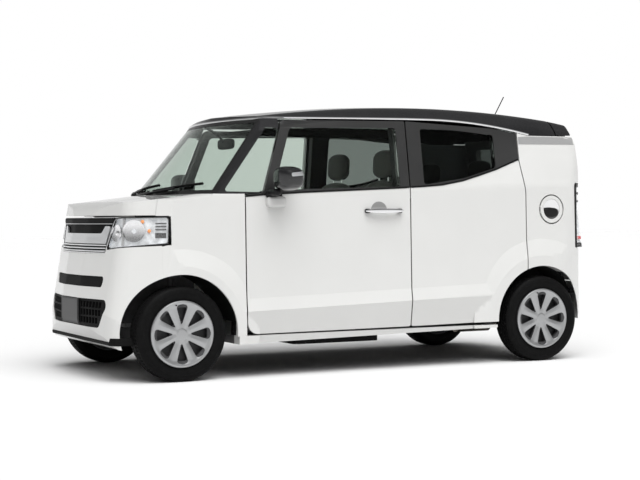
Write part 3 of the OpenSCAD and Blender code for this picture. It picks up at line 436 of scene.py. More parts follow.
def patch(name, loops, tree, ray, lift, mat, body, step=0.014, thick=0.0, relax=0):
    """A sheet that lies on a surface, inside the first loop and outside the others."""
    pts, edges, faces = [], [], []
    for loop in loops:
        loop = resample(loop, step)
        k, n = len(pts), len(loop)
        pts += [Vector(p) for p in loop]
        edges += [(k + i, k + (i + 1) % n) for i in range(n)]
        faces.append(list(range(k, k + n)))
    rim = np.array(pts)
    lo, hi = rim.min(0), rim.max(0)
    for u in np.arange(lo[0], hi[0], step):
        for v in np.arange(lo[1], hi[1], step):
            if ((rim - (u, v)) ** 2).sum(1).min() > (RIM_CLEAR * step) ** 2:
                pts.append(Vector((u, v)))
    flat, _, tris, _, _, _ = delaunay_2d_cdt(pts, edges, faces, INSIDE_WITHOUT_HOLES, JOIN_GAP)
    verts = [cast(tree, ray, p.x, p.y, lift) for p in flat]
    way = ray(0, 0)[1]
    if relax:
        near = [set() for _ in verts]
        for t in tris:
            for a in t:
                near[a].update(t)
        fixed = sum(len(loop) for loop in faces)
        depth = np.array([v.dot(way) for v in verts])
        for _ in range(relax):
            depth = np.array([depth[list(k)].mean() if k and i >= fixed else depth[i]
                              for i, k in enumerate(near)])
        verts = [v + way * (d - v.dot(way)) for v, d in zip(verts, depth)]
    used = sorted({i for t in tris for i in t})
    new = {i: j for j, i in enumerate(used)}
    verts = [verts[i] for i in used]
    made = []
    for t in tris:
        t = [new[i] for i in t]
        normal = (verts[t[1]] - verts[t[0]]).cross(verts[t[2]] - verts[t[0]])
        made.append(t if normal.dot(way) < 0 else t[::-1])
    return add(name, verts, made, mat, body, SHEET_ANGLE, thick)


def wall(name, loop, tree, ray, near, far, mat, body, step=0.014):
    """A band between two lifts of a closed line."""
    loop = resample(loop, step)
    verts = [cast(tree, ray, u, v, lift) for lift in (near, far) for u, v in loop]
    return add(name, verts, bands(2, len(loop)), mat, body)


def sweep(name, path, section, mat, body, out):
    """Carries a closed section of (outwards, across) pairs along a path."""
    path = [Vector(p) for p in path]
    n, m = len(path), len(section)
    verts = []
    for i, p in enumerate(path):
        a = path[i - 1] if i else p
        b = path[i + 1] if i < n - 1 else p
        t = (b - a).normalized()
        o = Vector(out)
        o = (o - t * o.dot(t)).normalized()
        w = t.cross(o)
        verts += [p + o * q[0] + w * q[1] for q in section]
    ends = [tuple(range(m))[::-1], tuple((n - 1) * m + j for j in range(m))]
    return add(name, verts, bands(n, m) + ends, mat, body, SHEET_ANGLE)


# How far a bar reaches into what carries it, in metres, and how much of its height is round
BAR_ROOT = 0.001
BAR_SOFT = 0.3


def bar_section(out, wide):
    """A bar with a rounded outer side."""
    h = wide / 2
    arc = [(out * (1 - BAR_SOFT) + out * BAR_SOFT * math.cos(a), h * math.sin(a)) for a in np.linspace(-1.57, 1.57, 9)]
    return [(-BAR_ROOT, -h)] + arc + [(-BAR_ROOT, h)]


def revolve(name, profile, mat, body, centre, axis, segments=64, thick=0.0):
    """Turns (along the axis, radius) pairs round an axis."""
    axis = Vector(axis).normalized()
    turn = axis.to_track_quat("Z", "Y").to_matrix()
    verts, faces = [], []
    m = len(profile)
    for i in range(segments):
        a = 2 * math.pi * i / segments
        verts += [Vector(centre) + turn @ Vector((r * math.cos(a), r * math.sin(a), h)) for h, r in profile]
        for j in range(m - 1):
            k, q = i * m + j, (i + 1) % segments * m + j
            faces.append((k, q, q + 1, k + 1))
    return add(name, verts, faces, mat, body, SHEET_ANGLE, thick)


# Slices of a pillow, and the distance of the points round it in metres
PILLOW_SLICES = 40
PILLOW_STEP = 0.012


def pillow(name, rows, half, body, centre, power=5.0, crown=0.0):
    """A crowned soft form: an outline in the side view, drawn in towards both ends."""
    loop = resample(outline(rows), PILLOW_STEP)
    mid = np.mean(loop, axis=0)
    verts = []
    for t in np.linspace(-1, 1, PILLOW_SLICES):
        y = math.sin(t * math.pi / 2)
        shrink = (1 - abs(y) ** power) ** (1 / power)
        grow = shrink * (1 - crown * y * y)
        verts += [Vector((centre[0] + mid[0] + (p[0] - mid[0]) * grow, centre[1] + half * y,
                          centre[2] + mid[1] + (p[1] - mid[1]) * grow)) for p in loop]
    obj = add(name, verts, bands(PILLOW_SLICES, len(loop)), fabric, body, SOFT_ANGLE)
    return obj


def blob(name, mat, body, centre, size, power, shift=None, rings=36, segments=56):
    """A rounded block, with an optional change of each point."""
    verts = []

    def part(c):
        return math.copysign(abs(c) ** (2.0 / power), c)
    for i in range(rings + 1):
        a = -math.pi / 2 + math.pi * i / rings
        for j in range(segments):
            b = 2 * math.pi * j / segments
            ring = part(math.cos(a))
            p = Vector((ring * part(math.cos(b)), ring * part(math.sin(b)), part(math.sin(a))))
            p = Vector((p.x * size[0], p.y * size[1], p.z * size[2]))
            verts.append(Vector(centre) + (shift(p) if shift else p))
    return add(name, verts, bands(rings + 1, segments), mat, body, ROUND_ANGLE)


# Wheels: tyre and cover, with the outside towards +Y, in metres
WHEELS = dict(zip(WHEEL_NAMES, [(x, side) for x in AXLES for side in (LEFT, RIGHT)]))
WHEEL_Y = 0.653
TYRE_R = 0.278
TREAD_HALF = 0.0545
CROWN_DROP, CROWN_HALF = 0.0022, 0.055
GROOVES_Y = (0.0115, 0.0345)
GROOVE_HALF = 0.0036
GROOVE_DEPTH = 0.0065
SLOT_FROM_Y = 0.013
SLOT_DEPTH = 0.0045
SLOT_EVERY = 4
SLOT_LEAN = 90
TYRE_ANGLE, COVER_ANGLE = 30, 38
COVER_T = 0.003


def tyre_mesh(segments=320):
    """A tyre with grooves round it and slots across its tread."""
    half = [(0.1865, 0.0585), (0.192, 0.0635), (0.199, 0.0675), (0.204, 0.0692), (0.2075, 0.0712), (0.2095, 0.0716),
            (0.217, 0.0745), (0.228, 0.0765), (0.2395, 0.0770), (0.2405, 0.0780), (0.2445, 0.0780), (0.2455, 0.0768),
            (0.254, 0.0752), (0.2615, 0.0722), (0.2675, 0.0680), (0.2720, 0.0625), (0.2745, 0.0580)]
    tread = []
    for y in np.linspace(TREAD_HALF, -TREAD_HALF, 61):
        groove = min(abs(abs(y) - g) for g in GROOVES_Y) < GROOVE_HALF
        crown = TYRE_R - CROWN_DROP * (y / CROWN_HALF) ** 4
        tread.append((crown - (GROOVE_DEPTH if groove else 0), y, not groove))
    rows = [(r, y, False) for r, y in half] + tread + [(r, -y, False) for r, y in half[::-1]]
    verts, faces = [], []
    m = len(rows)
    for i in range(segments):
        a = 2 * math.pi * i / segments
        for r, y, block in rows:
            shift = 2 if abs(y) < GROOVES_Y[1] else 0
            cut = block and abs(y) > SLOT_FROM_Y and (i + shift + int(y * SLOT_LEAN)) % SLOT_EVERY == 0
            q = r - (SLOT_DEPTH if cut else 0)
            verts.append((q * math.sin(a), y, q * math.cos(a)))
        for j in range(m - 1):
            k, q = i * m + j, (i + 1) % segments * m + j
            faces.append((k, k + 1, q + 1, q))
    return verts, faces


def cover_mesh(spokes=8, across=12):
    """A cover with openings between its spokes: face height and half opening over the radius, in millimetres."""
    face_r = [0, 26, 30, 34, 60, 100, 140, 160, 172, 181, 186, 190, 194]
    face_y = [66.5, 66, 65, 62.5, 61, 65, 70, 73, 77, 80, 81, 79.5, 75.5]
    gap_r = [58, 62, 80, 105, 130, 150, 160, 168, 172, 174.5]
    gap_w = [0, 5, 10.5, 18, 26, 32, 33.5, 30, 18, 0]
    radii = [8, 16, 24, 27, 30, 33, 37, 46, 52, 58] + list(np.arange(61, 170, 4))
    radii += [171, 173, 174.5, 178, 182, 186, 190, 194]
    open_from, open_to = 58.5, 174
    ridge_from, ridge_to, ridge_top, ridge_half, ridge_h = 33, 163, 98, 66.0, 5.0
    edge_drop = 2.5
    verts, faces = [(0, face_y[0] * MM, 0)], []
    index = {}
    for s in range(spokes):
        for k in range(-across, across + 1):
            u = k / across
            for j, r in enumerate(radii):
                open_here = open_from < r < open_to
                w = float(np.interp(r, gap_r, gap_w)) if open_here else 0.0
                edge = math.pi / spokes - w / r
                a = s * 2 * math.pi / spokes + math.pi / spokes + u * edge
                hump = max(0.0, 1 - abs((r - ridge_top) / ridge_half)) ** 0.6
                ridge = ridge_h * hump * (1 - abs(u)) if ridge_from < r < ridge_to else 0.0
                y = float(np.interp(r, face_r, face_y)) + ridge - (edge_drop * abs(u) ** 3 if open_here else 0)
                if abs(k) == across and not open_here:
                    key = (s + (1 if k > 0 else 0)) % spokes, "seam", j
                else:
                    key = s, k, j
                if key not in index:
                    index[key] = len(verts)
                    verts.append((r * MM * math.sin(a), y * MM, r * MM * math.cos(a)))
                index[s, k, j] = index[key]
    for s in range(spokes):
        for k in range(-across, across):
            faces.append((0, index[s, k, 0], index[s, k + 1, 0]))
            for j in range(len(radii) - 1):
                faces.append((index[s, k, j], index[s, k, j + 1], index[s, k + 1, j + 1], index[s, k + 1, j]))
    return verts, faces


def make_wheels():
    tyre_v, tyre_f = tyre_mesh()
    cover_v, cover_f = cover_mesh()
    for name, (x, side) in WHEELS.items():
        def put(v):
            return (x + side * v[0], side * (WHEEL_Y + v[1]), AXLE_Z + v[2])
        wheel, out = name + "_wheel", (0, side, 0)
        tyre = add(name + "_tread", [put(v) for v in tyre_v], tyre_f, rubber, wheel, TYRE_ANGLE)
        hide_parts(name + "_tyre")
        cover = add(name + "_cover", [put(v) for v in cover_v], cover_f, cover_silver, wheel, COVER_ANGLE, COVER_T)
        disc = [(0.022, 0.167), (0.022, 0.060)]
        revolve(name + "_disc", disc, steel, wheel, put((0, 0, 0)), out, 64, COVER_T)
        stem = [(0, 0.004), (0.016, 0.004), (0.018, 0.003), (0.019, 0)]
        valve = revolve(name + "_valve", stem, seal, wheel, put((0.04, 0.068, 0.168)), out, 12)


make_wheels()


# Front end
def lens_glass():
    """Nearly invisible plastic that still mirrors."""
    mat, tree, p = shader("lamp_lens")
    tree.links.new(tint(tree, noise(tree, 20.0), (0.94, 0.95, 0.95), (0.98, 0.99, 0.99)), p.inputs["Base Color"])
    p.inputs["Roughness"].default_value = 0.04
    p.inputs["Alpha"].default_value = 0.05
    return mat


lens = lens_glass()
bowl = finish("lamp_bowl", (0.72, 0.74, 0.76), 0.20, metal=0.35, vary=0.30, grain=26.0)
amber = finish("amber_bulb", (0.95, 0.30, 0.03), 0.15, vary=0.05, coat=1.0)
board = finish("plate_board", (0.045, 0.045, 0.046), 0.5, vary=0.12, grain=120.0, bump=0.1)
red_lens = finish("red_lens", (0.55, 0.02, 0.02), 0.12, vary=0.08, coat=1.0)
grey = finish("grey_trim", (0.30, 0.30, 0.30), 0.45, vary=0.08, grain=30.0, stretch=(1, 1, 30))

# Lifts of the headlamp's parts from its surface, in metres
LENS_LIFT = -0.0005
LAMP_EDGE_LIFT = -0.004
LAMP_PART_LIFT = -0.014
LAMP_BACK_LIFT = -0.016
LAMP_WALL_END = -0.017
# Places in the headlamp as seen from the corner: across, up and radius or width
LAMP_DISHES = ((-0.748, 0.864, 0.046), (-0.630, 0.876, 0.062))
LAMP_AMBERS = ((-0.584, 0.930), (-0.546, 0.876))
LAMP_BARS = ((0.920, 0.007), (0.902, 0.007), (0.884, 0.007), (0.850, 0.030))
LAMP_BAR_ENDS = (-0.512, -0.452)
LAMP_WEB_U = -0.697


def make_headlamp(side):
    tag = SIDE_NAME[side]
    tree = surface("headlamps")
    ray = from_corner(side)
    shape = outline([(-824, 771, 18), (-434, 803, 14), (-434, 957, 18), (-752, 953, 20)])
    glassy = patch(tag + "_lamp_lens", [shape], tree, ray, LENS_LIFT, lens, "body", 0.012, 0.002, relax=3)
    if side == LEFT:
        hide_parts("headlamps")
    inner = outline([(-818, 776, 16), (-440, 807, 12), (-440, 952, 16), (-750, 948, 18)])
    patch(tag + "_lamp_back", [inner], tree, ray, LAMP_BACK_LIFT, bowl, "body", 0.02)
    wall(tag + "_lamp_wall", inner, tree, ray, LAMP_EDGE_LIFT, LAMP_WALL_END, bowl, "body")
    ring = outline([(-826, 769, 19), (-432, 801, 15), (-432, 959, 19), (-753, 955, 21)])
    patch(tag + "_lamp_edge", [ring, inner], tree, ray, LAMP_EDGE_LIFT, plastic, "body", 0.01)
    way = -ray(0, 0)[1]

    def inside(u, v):
        return cast(tree, ray, u, v, LAMP_PART_LIFT)
    bulb = [(-0.001, 0.014), (0.004, 0.014), (0.007, 0.010), (0.008, 0.0)]
    for k, (u, v, r) in enumerate(LAMP_DISHES):
        dish = [(0.006 * (q / r) ** 2 - 0.001, q) for q in np.linspace(0.012, r, 12)]
        dish += [(0.007, r + 0.003), (0.0, r + 0.004)]
        axis = facing(tree, ray, u, v)
        revolve(f"{tag}_lamp_dish_{k}", dish, chrome, "body", inside(u, v), axis, 48)
        revolve(f"{tag}_lamp_bulb_{k}", bulb, (chrome, bowl)[k], "body", inside(u, v), axis, 24)
    dome = [(0.009 * math.cos(a), 0.011 * math.sin(a)) for a in np.linspace(0, 1.57, 7)][::-1]
    for k, (u, v) in enumerate(LAMP_AMBERS):
        revolve(f"{tag}_lamp_amber_{k}", dome, amber, "body", inside(u, v), way, 20)
    for k, (v, wide) in enumerate(LAMP_BARS):
        line = [inside(u, v) for u in np.linspace(*LAMP_BAR_ENDS, 8)]
        sweep(f"{tag}_lamp_bar_{k}", line, bar_section(0.005, wide), satin_black, "body", way)
    line = [inside(LAMP_WEB_U, v) for v in np.linspace(0.792, 0.946, 10)]
    sweep(tag + "_lamp_web", line, bar_section(0.007, 0.014), grey, "body", way)


# Heights and half widths of the grille at its foot and top, and of its end bars at the foot, in millimetres
GRILLE_FOOT_Z, GRILLE_TOP_Z = 745, 957
GRILLE_FOOT_W, GRILLE_TOP_W = 418, 482
GRILLE_END_W = 416
# Bars of the grille: name, height in millimetres, width and reach in metres, inset in millimetres, material
GRILLE_BARS = (
    ("brow", 936, 0.032, 0.012, 6, plastic),
    ("brow_edge", 919, 0.005, 0.013, 8, silver),
    ("top", 955, 0.005, 0.004, 0, chrome),
    *((f"slat_{k}", z, 0.009, 0.008, 10, silver) for k, z in enumerate((759, 776, 793))),
    ("foot", 748, 0.006, 0.006, 2, chrome),
)
FORWARD = (1, 0, 0)
LIP_Z = 0.225
LIP_HALF = 0.66


def grille_widening(z):
    return (z - GRILLE_FOOT_Z) * (GRILLE_TOP_W - GRILLE_FOOT_W) / (GRILLE_TOP_Z - GRILLE_FOOT_Z)


def make_grille():
    tree = surface("grille", hull=True)
    ring = [(-GRILLE_FOOT_W, GRILLE_FOOT_Z, 18), (GRILLE_FOOT_W, GRILLE_FOOT_Z, 18),
            (GRILLE_TOP_W, GRILLE_TOP_Z, 16), (-GRILLE_TOP_W, GRILLE_TOP_Z, 16)]
    deep = patch("grille_deep", [outline(ring)], tree, from_front, -0.012, plastic, "body", 0.03)
    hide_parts("grille")
    shield = outline([(-408, 802, 4), (408, 802, 4), (436, 905, 12), (372, 905, 14), (336, 862, 30), (-336, 862, 30),
                      (-372, 905, 14), (-436, 905, 12)])
    patch("grille_shield", [shield], tree, from_front, 0.004, silver, "body", 0.014, 0.012, relax=2)
    for name, z, wide, out, inset, mat in GRILLE_BARS:
        w = GRILLE_FOOT_W + grille_widening(z) - inset
        line = [cast(tree, from_front, y, z * MM) for y in np.linspace(-w, w, 50) * MM]
        sweep("grille_" + name, line, bar_section(out, wide), mat, "body", FORWARD)
    for side in (LEFT, RIGHT):
        line = [cast(tree, from_front, side * (GRILLE_END_W + grille_widening(z)) * MM, z * MM)
                for z in np.linspace(750, 950, 20)]
        sweep(SIDE_NAME[side] + "_grille_end", line, bar_section(0.005, 0.006), chrome, "body", FORWARD)


def make_plate_board():
    base = surface("lower_grille", hull=True)
    shape = outline([(-165, 320, 8), (165, 320, 8), (165, 474, 8), (-165, 474, 8)])
    rim = outline([(-157, 328, 5), (157, 328, 5), (157, 466, 5), (-157, 466, 5)])
    patch("plate_board", [shape], base, from_front, 0.012, board, "body", 0.02, 0.006)
    patch("plate_board_rim", [shape, rim], base, from_front, 0.0135, satin_black, "body", 0.012, 0.002)


def make_front_lip():
    bumper = surface("front_bumper", hull=True)
    lip = [cast(bumper, from_front, y, LIP_Z, 0.002) for y in np.linspace(-LIP_HALF, LIP_HALF, 60)]
    section = [(-0.02, -0.036), (0.002, -0.034), (0.008, 0), (0.004, 0.010), (-0.02, 0.012)]
    sweep("front_lip", lip, section, plastic, "body", FORWARD)


# Lines of the glasshouse, in millimetres: along, up
BELT = [(838, 1073), (724, 1082), (443, 1098), (-191, 1125), (-387, 1136), (-518, 1146), (-673, 1173), (-792, 1206),
        (-932, 1247), (-1106, 1312)]
ROOF_EDGE_Z = 1558
ROOF_FRONT_X, ROOF_FRONT_FALL = -285, 0.012
ROOF_REAR_X, ROOF_REAR_FALL = -445, 0.00014
ROOF_FALL_END = -1210
ROOF_STRIP_ENDS = (-1212, 690)
ROOF_STRIP_RISE = 8
BELT_SEAL_RISE = 5
DOOR_ENDS = {"front": (836, -276), "rear": (-294, -1112)}


def roof_line(x):
    """Height of the roof's edge, which falls to the front and in a curve to the rear."""
    return ROOF_EDGE_Z - max(0, x - ROOF_FRONT_X) * ROOF_FRONT_FALL - max(0, ROOF_REAR_X - x) ** 2 * ROOF_REAR_FALL


def belt(x):
    """Height of the belt line."""
    xs, zs = zip(*BELT[::-1])
    return float(np.interp(x, xs, zs))


def make_side_trim(side):
    tag = SIDE_NAME[side]
    ray = from_side(side)
    out = (0, side, 0)
    roof = surface("roof")
    line = [cast(roof, ray, x * MM, (roof_line(max(x, ROOF_FALL_END)) + ROOF_STRIP_RISE) * MM)
            for x in np.linspace(*ROOF_STRIP_ENDS, 90)]
    sweep(tag + "_roof_strip", line, bar_section(0.005, 0.013), chrome, "body", out)
    quarter = surface("quarter_panels")
    band = outline([(-1128, 1420, 0), (-1128, 1466, 0), (-1210, 1471, 0), (-1590, 1471, 6), (-1600, 1424, 6)])
    patch(tag + "_quarter_band", [band], quarter, ray, 0.0015, grey, "body", 0.012, 0.0015)
    for door, ends in DOOR_ENDS.items():
        skin = surface(f"{tag}_{door}_door")
        line = [cast(skin, ray, x * MM, (belt(x) + BELT_SEAL_RISE) * MM) for x in np.linspace(*ends, 70)]
        sweep(f"{tag}_{door}_belt", line, bar_section(0.004, 0.011), seal, f"{tag}_{door}_door", out)


make_headlamp(LEFT)
make_headlamp(RIGHT)
make_grille()
make_plate_board()
make_front_lip()
make_side_trim(LEFT)
make_side_trim(RIGHT)


# Paint of doors and sills. The heights between which the belt line's curve is given, in millimetres
BELT_LOW, BELT_HIGH = 1000, 1400


def two_tone():
    """White below the belt line and black round the windows."""
    mat, tree, p = shader("door_paint")
    x, _, z = place_of(tree)
    rear, front = BELT[-1][0], BELT[0][0]
    curve = tree.nodes.new("ShaderNodeFloatCurve")
    line = curve.mapping.curves[0]
    spots = [((bx - rear) / (front - rear), (bz - BELT_LOW) / (BELT_HIGH - BELT_LOW)) for bx, bz in BELT[::-1]]
    line.points[0].location, line.points[1].location = spots[0], spots[-1]
    for s in spots[1:-1]:
        line.points.new(*s)
    for s in line.points:
        s.handle_type = "VECTOR"
    curve.mapping.update()
    tree.links.new(span_of(tree, x, rear * MM, front * MM).outputs["Result"], curve.inputs["Value"])
    height = span_of(tree, z, BELT_LOW * MM, BELT_HIGH * MM)
    height.clamp = False
    above = math_node(tree, "GREATER_THAN", height.outputs["Result"], curve.outputs["Value"])
    fac = noise(tree, 4.0)
    dark = tint(tree, fac, (0.012, 0.012, 0.012), (0.018, 0.018, 0.018))
    tree.links.new(choose(tree, above, paint_tint(tree, fac), dark), p.inputs["Base Color"])
    tree.links.new(ramp(tree, fac, 0.30, 0.34), p.inputs["Roughness"])
    p.inputs["Coat Weight"].default_value = 0.8
    p.inputs["Coat Roughness"].default_value = COAT_ROUGH
    relief(tree, p)
    return mat


# Where the floor pan's painted outer sides begin, in metres
SILL_Y = 0.655


def sill_paint():
    """White on the outer sides, dark below and inside."""
    mat, tree, p = shader("sill_paint")
    y = place_of(tree)[1]
    outer = math_node(tree, "GREATER_THAN", math_node(tree, "ABSOLUTE", y, 0.0), SILL_Y)
    fac = noise(tree, 12.0)
    dark = tint(tree, fac, (0.035, 0.035, 0.036), (0.06, 0.06, 0.062))
    tree.links.new(choose(tree, outer, dark, paint_tint(tree, fac)), p.inputs["Base Color"])
    tree.links.new(ramp(tree, fac, 0.32, 0.42), p.inputs["Roughness"])
    relief(tree, p)
    return mat


door_paint = two_tone()
for n in DOORS:
    dress(n, door_paint)
dress("floor_pan", sill_paint())

mirror_glass = finish("mirror_glass", (0.8, 0.82, 0.84), 0.03, metal=1.0, vary=0.01)
# Mirror case: half sizes, where its back is cut flat, and where its front begins to draw in, in metres
CASE_SIZE = (0.077, 0.095, 0.071)
CASE_BACK = -0.070
CASE_DRAW_FROM, CASE_DRAW_SPAN, CASE_DRAW = 0.03, 0.06, 0.3
CASE_TAPER = 0.18


def make_mirror(side):
    tag = SIDE_NAME[side]
    body = tag + "_front_door"

    def shape(p):
        draw = 1 - CASE_DRAW * max(0, p.y * side - CASE_DRAW_FROM) / CASE_DRAW_SPAN
        x = max(p.x, CASE_BACK) if p.x < 0 else p.x * draw
        z = p.z * (1 - CASE_TAPER * max(0, p.y * side) / CASE_SIZE[1])
        return Vector((x, p.y, z))
    case = blob(tag + "_mirror_case", black, body, (0.627, side * 0.858, 1.180), CASE_SIZE, 3.2, shape)
    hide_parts(tag + "_mirror")
    blob(tag + "_mirror_neck", satin_black, body, (0.676, side * 0.768, 1.100), (0.030, 0.052, 0.022), 3.0)
    blob(tag + "_mirror_foot", satin_black, body, (0.660, side * 0.724, 1.090), (0.052, 0.014, 0.026), 4.0)
    tree = search_tree(case.data)
    strip = outline([(562, 1196, 8), (650, 1188, 8), (650, 1210, 8), (562, 1220, 8)])
    patch(tag + "_mirror_lamp", [strip], tree, from_side(side), 0.001, silver, body, 0.006, 0.001)
    mid = side * 855
    face = outline([(mid - 82, 1126, 20), (mid + 82, 1126, 20), (mid + 82, 1234, 20), (mid - 82, 1234, 20)])
    patch(tag + "_mirror_glass", [face], tree, from_rear, 0.0012, mirror_glass, body, 0.02, 0.001)


def make_under_box():
    """The small white box under the left mirror."""
    blob("left_side_box", white, "left_front_door", (0.648, 0.722, 1.043), (0.062, 0.030, 0.034), 4.5)


def painted_shade_by_height(name, low, high, dark, light):
    """Painted shade: paint that runs from dark at one height to light at another."""
    mat, tree, p = shader(name)
    span = span_of(tree, place_of(tree)[2], low, high)
    tree.links.new(tint(tree, span.outputs["Result"], dark, light), p.inputs["Base Color"])
    tree.links.new(ramp(tree, noise(tree, 20.0), 0.30, 0.38), p.inputs["Roughness"])
    return mat


# Handle: its place on the door, half length and bow, and the dish of painted shade and the posts behind it, in metres
HANDLE_X, HANDLE_Z = -0.088, 0.987
HANDLE_HALF = 0.134
HANDLE_BOW = 0.012
HANDLE_TAPER = 0.35
DISH_R = 0.058
DISH_SHIFT = 0.030
POST_SHIFT = 0.112
# The handle's dish is painted shade, darker at the top and lighter below, on a flat sheet with no recess
dish_painted_shade = painted_shade_by_height("handle_dish_shade", 1.055, 0.925, (0.24, 0.24, 0.236), PAINT)


def make_handle(side):
    tag = SIDE_NAME[side]
    body = tag + "_front_door"
    skin = surface(tag + "_front_door")
    y = abs(cast(skin, from_side(side), HANDLE_X, HANDLE_Z).y)

    def shape(p):
        bow = HANDLE_BOW * (1 - (p.x / HANDLE_HALF) ** 2)
        thin = 1 - HANDLE_TAPER * abs(p.x / HANDLE_HALF) ** 3
        return Vector((p.x, p.y + side * bow, p.z * thin))
    dish = [(HANDLE_X + DISH_SHIFT + DISH_R * math.cos(a), HANDLE_Z + DISH_R * math.sin(a))
            for a in np.linspace(0, 2 * math.pi, 48)[:-1]]
    # A flat sheet on the door skin, with painted shade standing in for the dish's recess
    patch(tag + "_handle_dish_shade", [dish], skin, from_side(side), 0.0008, dish_painted_shade, body, 0.012)
    grip = blob(tag + "_handle_grip", chrome, body, (HANDLE_X, side * (y + 0.020), HANDLE_Z),
                    (HANDLE_HALF, 0.010, 0.014), 3.2, shape, 24, 72)
    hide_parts(tag + "_handle")
    for k, dx in enumerate((-POST_SHIFT, POST_SHIFT)):
        blob(f"{tag}_handle_post_{k}", satin_black, body, (HANDLE_X + dx, side * (y + 0.007), HANDLE_Z),
                 (0.020, 0.012, 0.014), 3.0, None, 16, 32)


# Fuel lid: its centre and the radius of the dish in it, in metres
LID_X, LID_Z = -1.355, 0.993
LID_DISH_R = 0.0645


def make_fuel_lid():
    skin = surface("fuel_lid", hull=True)
    at = cast(skin, from_side(LEFT), LID_X, LID_Z)
    axis = facing(skin, from_side(LEFT), LID_X, LID_Z, 0.05)
    rim = [(-0.008, 0.0895), (-0.001, 0.0895), (0.0, 0.0885), (0.0, 0.067), (-0.001, 0.0655), (-0.004, LID_DISH_R)]
    lid = revolve("fuel_lid_rim", rim, white, "fuel_lid", at, axis, 96)
    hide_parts("fuel_lid")
    dish = [(-0.016 * (1 - (r / LID_DISH_R) ** 2) - 0.003, r) for r in np.linspace(LID_DISH_R, 0, 14)]
    revolve("fuel_lid_dish", dish, chrome, "fuel_lid", at, axis, 72)
    blob("fuel_lid_grip", satin_black, "fuel_lid", at - axis * 0.006 + Vector((0.0, 0, -0.020)),
             (0.055, 0.010, 0.030), 2.6, None, 20, 48)
    hinge = [(-0.013, 0), (-0.013, 0.0045), (0.013, 0.0045), (0.013, 0)]
    revolve("fuel_lid_hinge", hinge, white, "fuel_lid", (-1.273, 0.7115, LID_Z), (0, 0, 1), 24)


# Tail lamp: heights of its foot and top, its leaning rear line and its front edge's line, in millimetres
TAIL_FOOT_Z, TAIL_TOP_Z = 738, 1169
TAIL_REAR_X, TAIL_REAR_SLOPE = -1692, 0.12
TAIL_EDGE_FOOT_X, TAIL_EDGE_TOP_X = -1604, -1592
# Its bars: from and to height in millimetres, material
TAIL_BARS = ((738, 768, plastic), (792, 812, red_lens), (1040, 1052, plastic), (1092, 1106, plastic),
             (1140, 1169, plastic))


def tail_rear_x(z):
    return TAIL_REAR_X + (z - TAIL_FOOT_Z) * TAIL_REAR_SLOPE


def tail_edge_x(z):
    return TAIL_EDGE_FOOT_X + (z - TAIL_FOOT_Z) * (TAIL_EDGE_TOP_X - TAIL_EDGE_FOOT_X) / (TAIL_TOP_Z - TAIL_FOOT_Z)


def make_tail_lamp(side):
    tag = SIDE_NAME[side]
    tree = surface("tail_lamps")
    ray = from_side(side)
    shape = outline([(-1694, 738, 8), (-1582, 738, 12), (-1569, 1169, 24), (-1640, 1169, 14)])
    glassy = patch(tag + "_tail_lens", [shape], tree, ray, 0.001, lens, "body", 0.012, 0.002)
    if side == LEFT:
        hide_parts("tail_lamps")
    patch(tag + "_tail_back", [shape], tree, ray, -0.012, bowl, "body", 0.016)
    edge = outline([(-1604, 738, 4), (-1582, 738, 10), (-1569, 1169, 20), (-1592, 1169, 6)])
    patch(tag + "_tail_edge", [edge], tree, ray, 0.0022, plastic, "body", 0.012, 0.012)
    for k, (z0, z1, mat) in enumerate(TAIL_BARS):
        w = tail_edge_x(z0)
        strip = outline([(tail_rear_x(z0), z0, 3), (w, z0, 3), (w, z1, 3), (tail_rear_x(z1), z1, 3)])
        patch(f"{tag}_tail_bar_{k}", [strip], tree, ray, -0.002, mat, "body", 0.01, 0.006)


# The printed border of the windscreen: its lower and upper line, and its leaning sides, in metres
SCREEN_LOW, SCREEN_HIGH = 1.115, 1.524
SCREEN_SIDE = 0.8673
SCREEN_LEAN = 0.193


def screen_paint():
    """Clear glass with a printed black border."""
    mat, tree, p = shader("screen_glass")
    tree.links.new(tint(tree, noise(tree, 3.0), (0.63, 0.70, 0.65), (0.645, 0.71, 0.665)), p.inputs["Base Color"])
    clear_shader(p, 1.2)
    dark = tree.nodes.new("ShaderNodeBsdfPrincipled")
    dark.inputs["Base Color"].default_value = (0.012, 0.012, 0.012, 1)
    dark.inputs["Roughness"].default_value = 0.25
    _, y, z = place_of(tree)
    lean = math_node(tree, "ADD", math_node(tree, "ABSOLUTE", y, 0.0), math_node(tree, "MULTIPLY", z, SCREEN_LEAN))
    ends = math_node(tree, "MAXIMUM", math_node(tree, "LESS_THAN", z, SCREEN_LOW),
                     math_node(tree, "GREATER_THAN", z, SCREEN_HIGH))
    border = math_node(tree, "MAXIMUM", math_node(tree, "GREATER_THAN", lean, SCREEN_SIDE), ends)
    mix = tree.nodes.new("ShaderNodeMixShader")
    tree.links.new(border, mix.inputs["Fac"])
    tree.links.new(p.outputs[0], mix.inputs[1])
    tree.links.new(dark.outputs[0], mix.inputs[2])
    tree.links.new(mix.outputs[0], tree.nodes["Material Output"].inputs["Surface"])
    return mat


# Wipers: each one's pivot and tip across the screen, heights of arm and blade, and the direction out of the glass
WIPERS = ((-0.52, 0.06), (-0.02, 0.55))
WIPER_Z, WIPER_RISE = 1.100, 0.045
BLADE_Z, BLADE_RISE = 1.112, 0.040
SCREEN_OUT = Vector((0.76, 0, 0.65))
UP_FRONT = (1, 0, 0.3)


